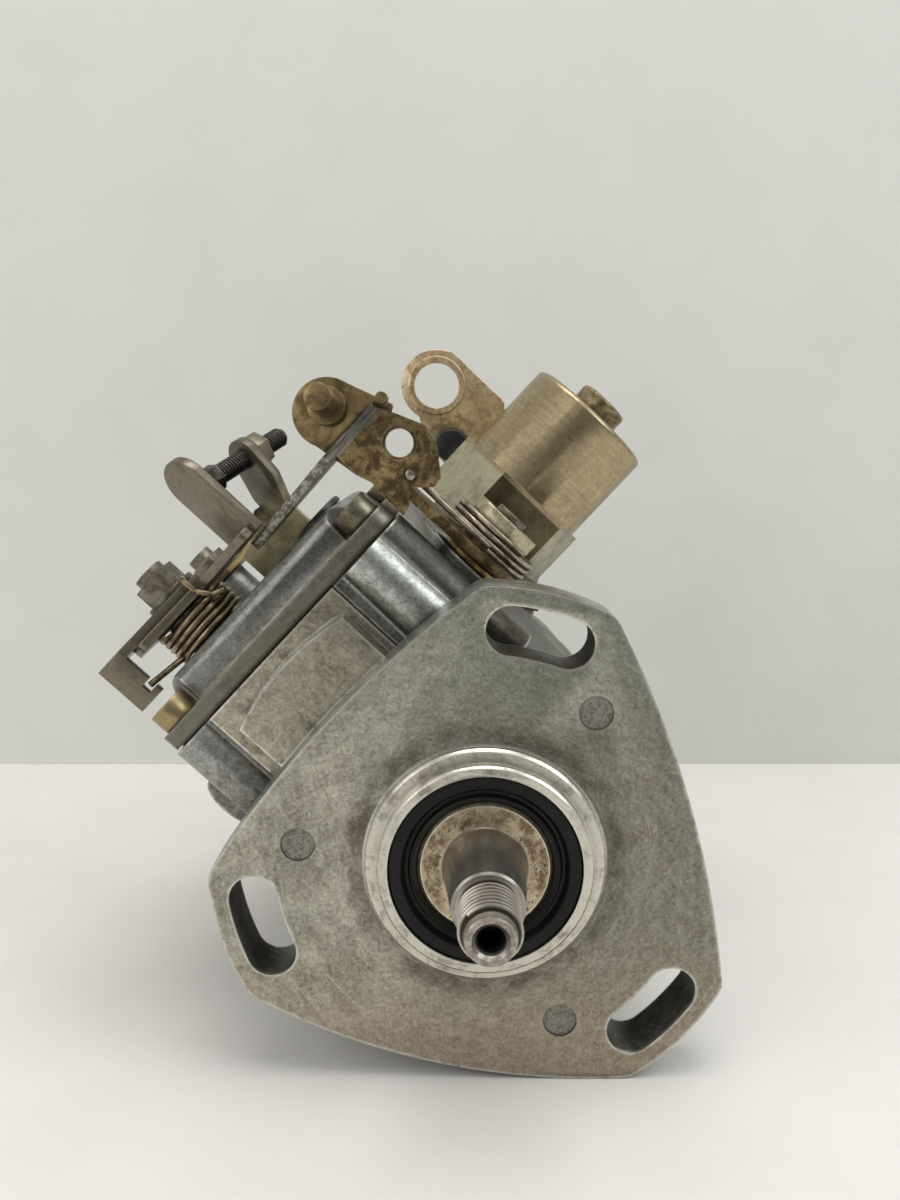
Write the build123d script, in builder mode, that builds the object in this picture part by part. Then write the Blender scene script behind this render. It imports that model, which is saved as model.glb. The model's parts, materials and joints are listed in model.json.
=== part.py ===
"""Rotary distributor diesel injection pump, lying on the edge of its flange."""
from build123d import *
import os
from math import atan2, cos, degrees, radians, sin, sqrt

# ---------------------------------------------------------------- driving dimensions, mm and degrees
ROLL = 46.9                 # how far the pump is rolled over on the bench

FLANGE_THICK = 13.0
LOBE_RADIUS = 57.8
LOBE_HALF_ANGLE = 14.0
LOBE_CORNER = 5.0
SLOT_ANGLES = (30.0, 150.0, 270.0)
SIDE_RADII = (44.0, 46.2, 44.2)      # least radius of the sides that follow each slot
SLOT_PITCH_RADIUS = 49.0
SLOT_WIDTH = 10.4
SLOT_LENGTH = 22.5
DIMPLE_RADIUS = 3.5
DIMPLE_PITCH_RADIUS = 39.0
DIMPLE_ANGLE = 7.6
DIMPLE_DEPTH = 0.4
SPIGOT_RADIUS = 25.0
SPIGOT_HEIGHT = 2.5
RING_RADIUS = 22.2
RING_FRONT = 5.3

SEAL_OUTER_RADIUS = 20.0
SEAL_WIDTH = 7.0
SEAL_RECESS = 0.5
JOURNAL_RADIUS = 14.0
COLLAR_RECESS = 1.5
TAPER_LARGE_RADIUS = 8.75
TAPER_LENGTH = 19.2
TAPER_RATIO = 6.0
THREAD_RADIUS = 6.0
SHAFT_REACH = 36.5
THREAD_LENGTH = 10.5
TIP_RADIUS = 5.2
CENTRE_HOLE_RADIUS = 2.7
BUSH_WALL = 2.0

BARREL_RADIUS = 37.0
NECK_RADIUS = 34.0
BORE_RADIUS = 31.0
HOUSING_LENGTH = 104.0
BORE_DEPTH = 68.0
BORE_START = HOUSING_LENGTH - BORE_DEPTH

BOX_LEFT = -33.0
BOX_RIGHT = 37.0
BOX_FRONT = 19.5
BOX_STEP = 2.0                # from the box's back to the head's joint
BOX_BACK = HOUSING_LENGTH - BOX_STEP
BOX_WALL = 5.0
BOX_TOP = 61.5
BOX_CORNER = 5.0
COLUMN_RADIUS = 6.5
COLUMN_INSET = 4.5

GASKET_THICK = 0.5
COVER_PLATE = 4.0
COVER_LIP = 1.2
DOME_RISE = 8.0
DOME_WALL = 3.5
DOME_INSET = 6.5
DOME_ROUND = 4.0

SPINDLE_SIDE = -16.0
SPINDLE_AFT = 50.0
SPINDLE_RADIUS = 4.0
LEVER_SHEET = 2.4
PUSH_SHEET = 2.0

RUN = 0.05                  # radial running clearance of shafts and spindles
CLEAR = 0.3                 # clearance between neighbouring moving pieces
SNUG = 0.02                 # radial clearance of pieces that are pressed or screwed home

# ---------------------------------------------------------------- directions and planes of the rolled pump
AFT = Vector(0, 1, 0)
SIDE = Vector(cos(radians(ROLL)), 0, sin(radians(ROLL)))
UP = Vector(-sin(radians(ROLL)), 0, cos(radians(ROLL)))


def at(side, aft, up):
    """Point given along the pump's own side, aft and up directions."""
    return SIDE * side + AFT * aft + UP * up


def across(aft):
    """Plane square to the shaft that faces the drive end; x is side, y is up."""
    return Plane(origin=at(0, aft, 0), x_dir=SIDE, z_dir=-AFT)


def level(up):
    """Plane parallel to the cover joint that faces up; x is side, y is aft."""
    return Plane(origin=at(0, 0, up), x_dir=SIDE, z_dir=UP)


def beside(side):
    """Plane parallel to the shaft that faces the lever side; x is aft, y is up."""
    return Plane(origin=at(side, 0, 0), x_dir=AFT, z_dir=SIDE)


def polar(radius, angle):
    """Point in a plane at a radius and angle."""
    return (radius * cos(radians(angle)), radius * sin(radians(angle)))


def turn(outline, start, along, out, mode=Mode.ADD):
    """Revolve (distance along, radius) points about the line through start."""
    with BuildSketch(Plane(origin=start, x_dir=along, z_dir=along.cross(out))) as half:
        with BuildLine():
            Polyline(*outline, close=True)
        make_face()
    revolve(half.sketch, axis=Axis(start, along), mode=mode)


def hexagon(plane, centre, across_flats, height, mode=Mode.ADD, turned=0):
    """Hexagonal prism at a place in a plane."""
    with BuildSketch(plane) as flats:
        with Locations(centre):
            RegularPolygon(across_flats / 2, 6, major_radius=False, rotation=turned)
    extrude(flats.sketch, amount=height, mode=mode)


def disc(plane, centre, radius, height, mode=Mode.ADD):
    """Round boss or hole at a place in a plane."""
    with BuildSketch(plane) as round_face:
        with Locations(centre):
            Circle(radius)
    extrude(round_face.sketch, amount=height, mode=mode)


def block(plane, low, high, height, mode=Mode.ADD, corner=0):
    """Block between two corners in a plane."""
    with BuildSketch(plane) as square:
        with Locations(((low[0] + high[0]) / 2, (low[1] + high[1]) / 2)):
            if corner:
                RectangleRounded(high[0] - low[0], high[1] - low[1], corner)
            else:
                Rectangle(high[0] - low[0], high[1] - low[1])
    extrude(square.sketch, amount=height, mode=mode)


def plate(plane, outline, thickness, corner=0, mode=Mode.ADD):
    """Sheet-metal shape cut to an outline, with rounded corners."""
    with BuildSketch(plane) as cut:
        with BuildLine():
            Polyline(*outline, close=True)
        make_face()
        if corner:
            fillet(cut.vertices(), corner)
    extrude(cut.sketch, amount=thickness, mode=mode)


def rod(start, end, radius, mode=Mode.ADD):
    """Straight round wire or hole between two points."""
    reach = end - start
    with BuildSketch(Plane(origin=start, z_dir=reach)) as round_face:
        Circle(radius)
    extrude(round_face.sketch, amount=reach.length, mode=mode)


def coil(start, along, radius, wire, pitch, height):
    """Coil of round wire about the line through start."""
    with BuildLine() as centre_line:
        Helix(pitch=pitch, height=height, radius=radius, center=start, direction=along)
    path = centre_line.line
    with BuildSketch(Plane(origin=path @ 0, z_dir=path % 0)) as round_face:
        Circle(wire)
    sweep(round_face.sketch, path=path, is_frenet=True)


os.makedirs("parts", exist_ok=True)

# ================================================================ housing and cover
seal_front = -RING_FRONT + SEAL_RECESS
seal_back = seal_front + SEAL_WIDTH
bush_start = seal_back + 3.5
bush_end = BORE_START - 1
bush_radius = JOURNAL_RADIUS + BUSH_WALL

SCREW_SPOTS = [
    (side, aft)
    for side in (BOX_LEFT + COLUMN_INSET, BOX_RIGHT - COLUMN_INSET)
    for aft in (BOX_FRONT + COLUMN_INSET, BOX_BACK - COLUMN_INSET)
]
SCREW_RADIUS = 2.5
SCREW_DEPTH = 10.0
column_back = BOX_BACK - COLUMN_INSET + COLUMN_RADIUS
BRACKET_BOLTS = ((29.5, 36.0), (29.5, 47.0))
BRACKET_BOLT_DEPTH = 8.0

BLOCK_PROUD = 2.5
BLOCK_SIDES = (-22.0, 18.0)
PAD_RADIUS = 58.0
PAD_SIDES = (-17.0, 16.0)
PAD_FRONT = 10.0
PAD_LOW = 28.0
CAVITY_FLOOR = 14.0
CAVITY_BACK = BOX_BACK - BOX_WALL

IDLE_AFT = 40.0             # fast-idle shaft, along the side direction
IDLE_UP = 41.5
IDLE_BOSS_RADIUS = 10.5
IDLE_BOSS_END = 40.5
IDLE_SHAFT_RADIUS = 4.0
LUMP_UP = 44.0
LUMP_AFT = 40.0
LUMP_RADIUS = 7.0
LUMP_END = -42.0

VALVE_SETBACK = 20.0
VALVE_AFT = HOUSING_LENGTH - VALVE_SETBACK     # stop solenoid, along the side direction
VALVE_UP = 40.4
VALVE_BOSS_RADIUS = 14.0
VALVE_SEAT = 45.5
VALVE_THREAD_RADIUS = 9.0

HEAD_BOLT_ANGLES = (160.0, 232.0, 338.0)
HEAD_BOLT_PITCH = 41.0
HEAD_EAR_RADIUS = 6.0
BOLT_RADIUS = 3.0
BOLT_FLATS = 10.0
BOLT_HEAD = 4.5
EAR_REACH = 18.0
BOLT_DEPTH = 12.0

CAM_SETBACK = 34.0
CAM_START = HOUSING_LENGTH - CAM_SETBACK
CAM_WIDTH = 18.0
cam_middle = CAM_START + CAM_WIDTH / 2
ADVANCE_UP = -41.0          # axis of the advance piston, along the side direction
ADVANCE_RADIUS = 11.0
ADVANCE_BORE = 7.5
ADVANCE_ENDS = (-18.0, 29.0)
PIN_RADIUS = 3.5
PIN_WINDOW = (-5.0, 10.0)

METER_INSET = 4.0
METER_AFT = CAVITY_BACK - METER_INSET      # metering valve, along the up direction
METER_RADIUS = 3.5
METER_FLOOR = 40.0
METER_DEPTH = 7.0
CHAMBER_STEP = METER_AFT - METER_INSET

slot_paths = [
    CenterArc(
        (0, 0),
        SLOT_PITCH_RADIUS,
        angle - degrees((SLOT_LENGTH - SLOT_WIDTH) / SLOT_PITCH_RADIUS) / 2,
        degrees((SLOT_LENGTH - SLOT_WIDTH) / SLOT_PITCH_RADIUS),
    )
    for angle in SLOT_ANGLES
]

with BuildPart() as pump_housing:
    with BuildSketch(across(FLANGE_THICK)) as flange_face:
        with BuildLine():
            for angle, side_radius in zip(SLOT_ANGLES, SIDE_RADII):
                start = polar(LOBE_RADIUS, angle - LOBE_HALF_ANGLE)
                end = polar(LOBE_RADIUS, angle + LOBE_HALF_ANGLE)
                following = polar(LOBE_RADIUS, angle + 120 - LOBE_HALF_ANGLE)
                ThreePointArc(start, polar(LOBE_RADIUS, angle), end)
                ThreePointArc(end, polar(side_radius, angle + 60), following)
        make_face()
        fillet(flange_face.vertices(), LOBE_CORNER)
    extrude(amount=FLANGE_THICK)
    # spigot, neck and barrel
    turn(
        [
            (-RING_FRONT, 0),
            (-RING_FRONT, RING_RADIUS - 0.5),
            (-RING_FRONT + 0.5, RING_RADIUS),
            (-SPIGOT_HEIGHT, RING_RADIUS),
            (-SPIGOT_HEIGHT, SPIGOT_RADIUS - 0.6),
            (-SPIGOT_HEIGHT + 0.6, SPIGOT_RADIUS),
            (1, SPIGOT_RADIUS),
            (1, NECK_RADIUS),
            (FLANGE_THICK + 10, NECK_RADIUS),
            (FLANGE_THICK + 20, BARREL_RADIUS),
            (HOUSING_LENGTH, BARREL_RADIUS),
            (HOUSING_LENGTH, 0),
        ],
        at(0, 0, 0),
        AFT,
        UP,
    )
    # governor box with its corner columns, front block and front pad
    block(level(0), (BOX_LEFT, BOX_FRONT), (BOX_RIGHT, BOX_BACK), BOX_TOP, corner=BOX_CORNER)
    for spot in SCREW_SPOTS:
        disc(level(BOX_TOP), spot, COLUMN_RADIUS, -40)
    block(across(BOX_FRONT + 1), (BLOCK_SIDES[0], PAD_LOW), (BLOCK_SIDES[1], BOX_TOP), BLOCK_PROUD + 1)
    with BuildSketch(across(BOX_FRONT)):
        with BuildLine():
            left = (PAD_SIDES[0], sqrt(PAD_RADIUS**2 - PAD_SIDES[0] ** 2))
            right = (PAD_SIDES[1], sqrt(PAD_RADIUS**2 - PAD_SIDES[1] ** 2))
            ThreePointArc(left, (0, PAD_RADIUS), right)
            Polyline(right, (PAD_SIDES[1], PAD_LOW), (PAD_SIDES[0], PAD_LOW), left)
        make_face()
    extrude(amount=BOX_FRONT - PAD_FRONT)
    # bosses on the two side walls
    disc(beside(BOX_RIGHT - 5), (IDLE_AFT, IDLE_UP), IDLE_BOSS_RADIUS, IDLE_BOSS_END - BOX_RIGHT + 5)
    disc(beside(BOX_RIGHT - 5), (VALVE_AFT, VALVE_UP), VALVE_BOSS_RADIUS, VALVE_SEAT - BOX_RIGHT + 5)
    disc(beside(LUMP_END), (LUMP_AFT, LUMP_UP), LUMP_RADIUS, BOX_LEFT - LUMP_END + 2)
    # ears for the hydraulic head's bolts
    for angle in HEAD_BOLT_ANGLES:
        disc(across(HOUSING_LENGTH), polar(HEAD_BOLT_PITCH, angle), HEAD_EAR_RADIUS, EAR_REACH)
    # advance cylinder below the cam ring
    advance_length = ADVANCE_ENDS[1] - ADVANCE_ENDS[0]
    disc(beside(ADVANCE_ENDS[0]), (cam_middle, ADVANCE_UP), ADVANCE_RADIUS, advance_length)
    block(
        beside(ADVANCE_ENDS[0]),
        (cam_middle - ADVANCE_RADIUS, ADVANCE_UP),
        (cam_middle + ADVANCE_RADIUS, ADVANCE_UP + 16),
        advance_length,
    )
    # bores along the shaft
    turn(
        [
            (-RING_FRONT, 0),
            (-RING_FRONT, SEAL_OUTER_RADIUS + SNUG),
            (seal_back, SEAL_OUTER_RADIUS + SNUG),
            (seal_back, bush_radius - 0.8),
            (bush_start, bush_radius - 0.8),
            (bush_start, bush_radius + SNUG),
            (BORE_START, bush_radius + SNUG),
            (BORE_START, BORE_RADIUS),
            (HOUSING_LENGTH, BORE_RADIUS),
            (HOUSING_LENGTH, 0),
        ],
        at(0, 0, 0),
        AFT,
        UP,
        mode=Mode.SUBTRACT,
    )
    # governor chamber: deep over the bore, with a step over the bush and one for the metering valve
    chamber_left = BOX_LEFT + BOX_WALL
    chamber_right = BOX_RIGHT - BOX_WALL
    chamber_front = min(BORE_START, IDLE_AFT - IDLE_SHAFT_RADIUS)      # clears the idle shaft's end
    for low_corner, high_corner, floor in (
        ((chamber_left, chamber_front), (chamber_right, CHAMBER_STEP), CAVITY_FLOOR),
        ((chamber_left + 8, BOX_FRONT + BOX_WALL), (chamber_right - 8, chamber_front + 1), PAD_LOW),
        ((chamber_left + 8, CHAMBER_STEP - 1), (chamber_right - 8, CAVITY_BACK), METER_FLOOR),
    ):
        block(level(floor), low_corner, high_corner, BOX_TOP - floor, mode=Mode.SUBTRACT)
    disc(level(METER_FLOOR), (0, METER_AFT), METER_RADIUS + RUN, -METER_DEPTH, mode=Mode.SUBTRACT)
    for spot in SCREW_SPOTS:
        disc(level(BOX_TOP), spot, SCREW_RADIUS + SNUG, -SCREW_DEPTH - 1, mode=Mode.SUBTRACT)
    disc(
        beside(BOX_RIGHT - BOX_WALL - 1),
        (IDLE_AFT, IDLE_UP),
        IDLE_SHAFT_RADIUS + RUN,
        IDLE_BOSS_END - BOX_RIGHT + BOX_WALL + 2,
        mode=Mode.SUBTRACT,
    )
    disc(
        beside(BOX_RIGHT - BOX_WALL - 1),
        (VALVE_AFT, VALVE_UP),
        VALVE_THREAD_RADIUS + SNUG,
        VALVE_SEAT - BOX_RIGHT + BOX_WALL + 2,
        mode=Mode.SUBTRACT,
    )
    for angle in HEAD_BOLT_ANGLES:
        spot = polar(HEAD_BOLT_PITCH, angle)
        disc(across(HOUSING_LENGTH), spot, BOLT_RADIUS + SNUG, BOLT_DEPTH + 1, mode=Mode.SUBTRACT)
    for spot in BRACKET_BOLTS:
        disc(across(column_back), spot, BOLT_RADIUS + SNUG, BRACKET_BOLT_DEPTH + 1, mode=Mode.SUBTRACT)
    advance_spot = (cam_middle, ADVANCE_UP)
    disc(beside(ADVANCE_ENDS[0] - 1), advance_spot, ADVANCE_BORE, advance_length + 2, mode=Mode.SUBTRACT)
    block(
        level(ADVANCE_UP),
        (PIN_WINDOW[0], cam_middle - PIN_RADIUS - CLEAR),
        (PIN_WINDOW[1], cam_middle + PIN_RADIUS + CLEAR),
        15,
        mode=Mode.SUBTRACT,
    )
    # flange slots and ejector marks
    with BuildSketch(across(FLANGE_THICK)):
        for path in slot_paths:
            SlotArc(path, SLOT_WIDTH)
    extrude(amount=FLANGE_THICK, mode=Mode.SUBTRACT)
    for angle in (0, 120, 240):
        spot = polar(DIMPLE_PITCH_RADIUS, DIMPLE_ANGLE + angle)
        disc(across(0), spot, DIMPLE_RADIUS, -DIMPLE_DEPTH, mode=Mode.SUBTRACT)
pump_housing.part.label = "pump_housing"
export_step(pump_housing.part, "parts/pump_housing.step")

cover_low = BOX_TOP + GASKET_THICK
cover_high = cover_low + COVER_PLATE
dome_top = cover_high + DOME_RISE
plate_low = (BOX_LEFT - COVER_LIP, BOX_FRONT - COVER_LIP)
plate_high = (BOX_RIGHT + COVER_LIP, BOX_BACK + COVER_LIP)
dome_low = (plate_low[0] + DOME_INSET, plate_low[1] + DOME_INSET)
dome_high = (plate_high[0] - DOME_INSET, plate_high[1] - DOME_INSET)
HEAD_POCKET_RADIUS = 6.0

lever_base = dome_top + 9.0
BOSS_TOP_GAP = 0.4
SPINDLE_BOSS_RADIUS = 7.0
STOP_SIDE = -12.0
STOP_SETBACK = 20.0
STOP_AFT = BOX_BACK - STOP_SETBACK
STOP_RADIUS = 3.5
STOP_BOSS_RADIUS = 6.0
FOOT_SCREW = (10.5, 66.0)
PLUG_SPOT = (22.6, 50.0)
PLUG_RADIUS = 7.0
PLUG_HEIGHT = 1.6
PLUG_STEM_RADIUS = 5.0
RETURN_SIDE = 6.0
RETURN_UP = 69.0
RETURN_RADIUS = 6.5
RETURN_BORE = 4.5
HOSE_RADIUS = 4.0
HOSE_BORE = 2.0
RETURN_REACH = 21.0
RETURN_SHOULDER = 8.0

with BuildPart() as governor_cover:
    block(level(cover_low), plate_low, plate_high, COVER_PLATE, corner=BOX_CORNER)
    with BuildSketch(level(cover_high)):
        with Locations(((dome_low[0] + dome_high[0]) / 2, (dome_low[1] + dome_high[1]) / 2)):
            RectangleRounded(dome_high[0] - dome_low[0], dome_high[1] - dome_low[1], BOX_CORNER)
    extrude(amount=DOME_RISE, taper=6)
    top_face = governor_cover.faces().sort_by(Axis(at(0, 0, 0), UP))[-1]
    fillet(top_face.edges(), DOME_ROUND)
    for spot, radius in (
        ((SPINDLE_SIDE, SPINDLE_AFT), SPINDLE_BOSS_RADIUS),
        ((STOP_SIDE, STOP_AFT), STOP_BOSS_RADIUS),
    ):
        disc(level(dome_top - 3), spot, radius, lever_base - BOSS_TOP_GAP - dome_top + 3)
    disc(across(plate_high[1] - 12), (RETURN_SIDE, RETURN_UP), RETURN_RADIUS, -13)
    for spot in SCREW_SPOTS:
        disc(level(cover_high), spot, HEAD_POCKET_RADIUS, DOME_RISE + 1, mode=Mode.SUBTRACT)
    block(
        level(cover_low - 1),
        (dome_low[0] + DOME_WALL, dome_low[1] + DOME_WALL),
        (dome_high[0] - DOME_WALL, dome_high[1] - DOME_WALL - 8),
        COVER_PLATE + DOME_RISE - DOME_WALL + 1,
        mode=Mode.SUBTRACT,
    )
    for spot, radius in (
        ((SPINDLE_SIDE, SPINDLE_AFT), SPINDLE_RADIUS + RUN),
        ((STOP_SIDE, STOP_AFT), STOP_RADIUS + RUN),
        (FOOT_SCREW, SCREW_RADIUS + SNUG),
        (PLUG_SPOT, PLUG_STEM_RADIUS + SNUG),
    ):
        disc(level(cover_low), spot, radius, 30, mode=Mode.SUBTRACT)
    disc(across(plate_high[1] + 2), (RETURN_SIDE, RETURN_UP), RETURN_BORE + SNUG, 12, mode=Mode.SUBTRACT)
    for spot in SCREW_SPOTS:
        disc(level(cover_low), spot, SCREW_RADIUS + SNUG, COVER_PLATE, mode=Mode.SUBTRACT)
governor_cover.part.label = "governor_cover"
export_step(governor_cover.part, "parts/governor_cover.step")

with BuildPart() as cover_gasket:
    block(level(BOX_TOP), (BOX_LEFT, BOX_FRONT), (BOX_RIGHT, BOX_BACK), GASKET_THICK, corner=BOX_CORNER)
    block(
        level(BOX_TOP),
        (chamber_left + 8, BOX_FRONT + BOX_WALL),
        (chamber_right - 8, CAVITY_BACK),
        GASKET_THICK,
        mode=Mode.SUBTRACT,
    )
    for spot in SCREW_SPOTS:
        disc(level(BOX_TOP), spot, SCREW_RADIUS + SNUG, GASKET_THICK, mode=Mode.SUBTRACT)
cover_gasket.part.label = "cover_gasket"
export_step(cover_gasket.part, "parts/cover_gasket.step")

COVER_HEAD_RADIUS = 4.6
COVER_HEAD = 5.0
with BuildPart() as cover_screws:
    for spot in SCREW_SPOTS:
        disc(level(cover_high), spot, COVER_HEAD_RADIUS, COVER_HEAD)
        disc(level(BOX_TOP - SCREW_DEPTH), spot, SCREW_RADIUS, cover_high - BOX_TOP + SCREW_DEPTH)
cover_screws.part.label = "cover_screws"
export_step(cover_screws.part, "parts/cover_screws.step")

with BuildPart() as cover_plug:
    disc(level(dome_top), PLUG_SPOT, PLUG_RADIUS, PLUG_HEIGHT)
    fillet(cover_plug.faces().sort_by(Axis(at(0, 0, 0), UP))[-1].edges(), 0.8)
    disc(level(dome_top - DOME_WALL), PLUG_SPOT, PLUG_STEM_RADIUS, DOME_WALL)
cover_plug.part.label = "cover_plug"
export_step(cover_plug.part, "parts/cover_plug.step")

RETURN_HEX = 12.0
with BuildPart() as return_union:
    return_start = plate_high[1] + 1
    turn(
        [
            (-10, 0),
            (-10, RETURN_BORE),
            (0, RETURN_BORE),
            (0, 6.2),
            (1.5, 6.2),
            (1.5, 5.0),
            (RETURN_SHOULDER, 5.0),
            (RETURN_SHOULDER, HOSE_RADIUS),
            (RETURN_REACH - 1, HOSE_RADIUS),
            (RETURN_REACH, HOSE_RADIUS - 0.6),
            (RETURN_REACH, HOSE_BORE),
            (-8, HOSE_BORE),
            (-8, 0),
        ],
        at(RETURN_SIDE, return_start, RETURN_UP),
        AFT,
        UP,
    )
    return_hex = across(return_start + RETURN_SHOULDER - 1)
    hexagon(return_hex, (RETURN_SIDE, RETURN_UP), RETURN_HEX, RETURN_SHOULDER - 2.5)
    return_way = across(return_start + RETURN_SHOULDER)
    disc(return_way, (RETURN_SIDE, RETURN_UP), HOSE_BORE, RETURN_SHOULDER + 8, mode=Mode.SUBTRACT)
return_union.part.label = "return_union"
export_step(return_union.part, "parts/return_union.step")

# ================================================================ drive end
with BuildPart() as shaft_seal:
    turn(
        [
            (0, SEAL_OUTER_RADIUS),
            (SEAL_WIDTH, SEAL_OUTER_RADIUS),
            (SEAL_WIDTH, SEAL_OUTER_RADIUS - 2),
            (2, SEAL_OUTER_RADIUS - 2),
            (2, JOURNAL_RADIUS + 2),
            (4.5, JOURNAL_RADIUS + RUN),
            (2.2, JOURNAL_RADIUS + RUN),
            (0.4, JOURNAL_RADIUS + 1.2),
            (0.8, JOURNAL_RADIUS + 2.6),
            (0, JOURNAL_RADIUS + 3.4),
        ],
        at(0, seal_front, 0),
        AFT,
        UP,
    )
shaft_seal.part.label = "shaft_seal"
export_step(shaft_seal.part, "parts/shaft_seal.step")

with BuildPart() as shaft_bush:
    disc(across(bush_end), (0, 0), bush_radius, bush_end - bush_start)
    disc(across(bush_end), (0, 0), JOURNAL_RADIUS + RUN, bush_end - bush_start, mode=Mode.SUBTRACT)
shaft_bush.part.label = "shaft_bush"
export_step(shaft_bush.part, "parts/shaft_bush.step")

collar_front = seal_front + COLLAR_RECESS
taper_small = TAPER_LARGE_RADIUS - TAPER_LENGTH / TAPER_RATIO / 2
thread_end = collar_front - TAPER_LENGTH
thread_tip = thread_end - THREAD_LENGTH
HUB_RADIUS = 12.0
HUB_END = CAM_START - 1.5
SOCKET_RADIUS = 7.0
SOCKET_DEPTH = 6.0
journal_end = BORE_START + 0.5
with BuildPart() as drive_shaft:
    turn(
        [
            (-SHAFT_REACH, 0),
            (-SHAFT_REACH, TIP_RADIUS - 0.8),
            (-SHAFT_REACH + 0.8, TIP_RADIUS),
            (thread_tip, TIP_RADIUS),
            (thread_tip, THREAD_RADIUS),
            (thread_end, THREAD_RADIUS),
            (thread_end, taper_small),
            (collar_front, TAPER_LARGE_RADIUS),
            (collar_front, JOURNAL_RADIUS - 0.6),
            (collar_front + 0.6, JOURNAL_RADIUS),
            (journal_end, JOURNAL_RADIUS),
            (journal_end, HUB_RADIUS),
            (HUB_END, HUB_RADIUS),
            (HUB_END, SOCKET_RADIUS + SNUG),
            (HUB_END - SOCKET_DEPTH, SOCKET_RADIUS + SNUG),
            (HUB_END - SOCKET_DEPTH, 0),
        ],
        at(0, 0, 0),
        AFT,
        UP,
    )
    turn(
        [(0, 0), (0, CENTRE_HOLE_RADIUS), (6, CENTRE_HOLE_RADIUS), (7.5, 0)],
        at(0, -SHAFT_REACH, 0),
        AFT,
        UP,
        mode=Mode.SUBTRACT,
    )
drive_shaft.part.label = "drive_shaft"
export_step(drive_shaft.part, "parts/drive_shaft.step")

# ================================================================ governor
CAGE_RADIUS = 29.5
CAGE_THICK = 2.5
CAGE_LUG = 15.0
WEIGHT_COUNT = 4
WEIGHT_PIVOT_RADIUS = 24.0
SLEEVE_GAP = 6.5
SLEEVE_LENGTH = 12.0
SLEEVE_WALL = 3.0
TOE_RADIUS = 14.0
cage_front = journal_end + 0.5
cage_back = cage_front + CAGE_THICK
SLEEVE_FRONT = cage_back + SLEEVE_GAP
pivot_aft = cage_back + 3.5
with BuildPart() as weight_cage:
    disc(across(cage_back), (0, 0), CAGE_RADIUS, CAGE_THICK)
    for index in range(WEIGHT_COUNT):
        middle = 45 + index * 360 / WEIGHT_COUNT
        with BuildSketch(across(cage_back + CAGE_LUG)):
            with BuildLine():
                inner_start = polar(CAGE_RADIUS - 5, middle - 14)
                outer_start = polar(CAGE_RADIUS, middle - 14)
                outer_end = polar(CAGE_RADIUS, middle + 14)
                inner_end = polar(CAGE_RADIUS - 5, middle + 14)
                Line(inner_start, outer_start)
                ThreePointArc(outer_start, polar(CAGE_RADIUS, middle), outer_end)
                Line(outer_end, inner_end)
                ThreePointArc(inner_end, polar(CAGE_RADIUS - 5, middle), inner_start)
            make_face()
        extrude(amount=CAGE_LUG)
    disc(across(cage_back), (0, 0), HUB_RADIUS + SNUG, CAGE_THICK, mode=Mode.SUBTRACT)
weight_cage.part.label = "weight_cage"
export_step(weight_cage.part, "parts/weight_cage.step")

WEIGHT_HALF_WIDTH = 9.0
for index in range(WEIGHT_COUNT):
    outward = SIDE.rotate(Axis.Y, -index * 360 / WEIGHT_COUNT)
    flat = Plane(origin=-WEIGHT_HALF_WIDTH * AFT.cross(outward), x_dir=AFT, z_dir=AFT.cross(outward))
    with BuildPart() as governor_weight:
        plate(
            flat,
            [
                (cage_back + 1, TOE_RADIUS - 1),
                (cage_back + 1, WEIGHT_PIVOT_RADIUS + 2),
                (pivot_aft + 2, WEIGHT_PIVOT_RADIUS + 3),
                (pivot_aft + 11, WEIGHT_PIVOT_RADIUS + 3),
                (pivot_aft + 11, TOE_RADIUS + 6),
                (SLEEVE_FRONT - CLEAR, TOE_RADIUS + 6),
                (SLEEVE_FRONT - CLEAR, TOE_RADIUS - 1),
            ],
            2 * WEIGHT_HALF_WIDTH,
        )
    governor_weight.part.label = f"governor_weight_{index + 1}"
    export_step(governor_weight.part, f"parts/governor_weight_{index + 1}.step")

with BuildPart() as thrust_sleeve:
    turn(
        [
            (0, HUB_RADIUS + RUN),
            (0, HUB_RADIUS + SLEEVE_WALL + 2),
            (2, HUB_RADIUS + SLEEVE_WALL + 2),
            (2, HUB_RADIUS + SLEEVE_WALL),
            (SLEEVE_LENGTH - 2.5, HUB_RADIUS + SLEEVE_WALL),
            (SLEEVE_LENGTH - 2.5, HUB_RADIUS + SLEEVE_WALL + 4),
            (SLEEVE_LENGTH, HUB_RADIUS + SLEEVE_WALL + 4),
            (SLEEVE_LENGTH, HUB_RADIUS + RUN),
        ],
        at(0, SLEEVE_FRONT, 0),
        AFT,
        UP,
    )
thrust_sleeve.part.label = "thrust_sleeve"
export_step(thrust_sleeve.part, "parts/thrust_sleeve.step")

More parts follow.
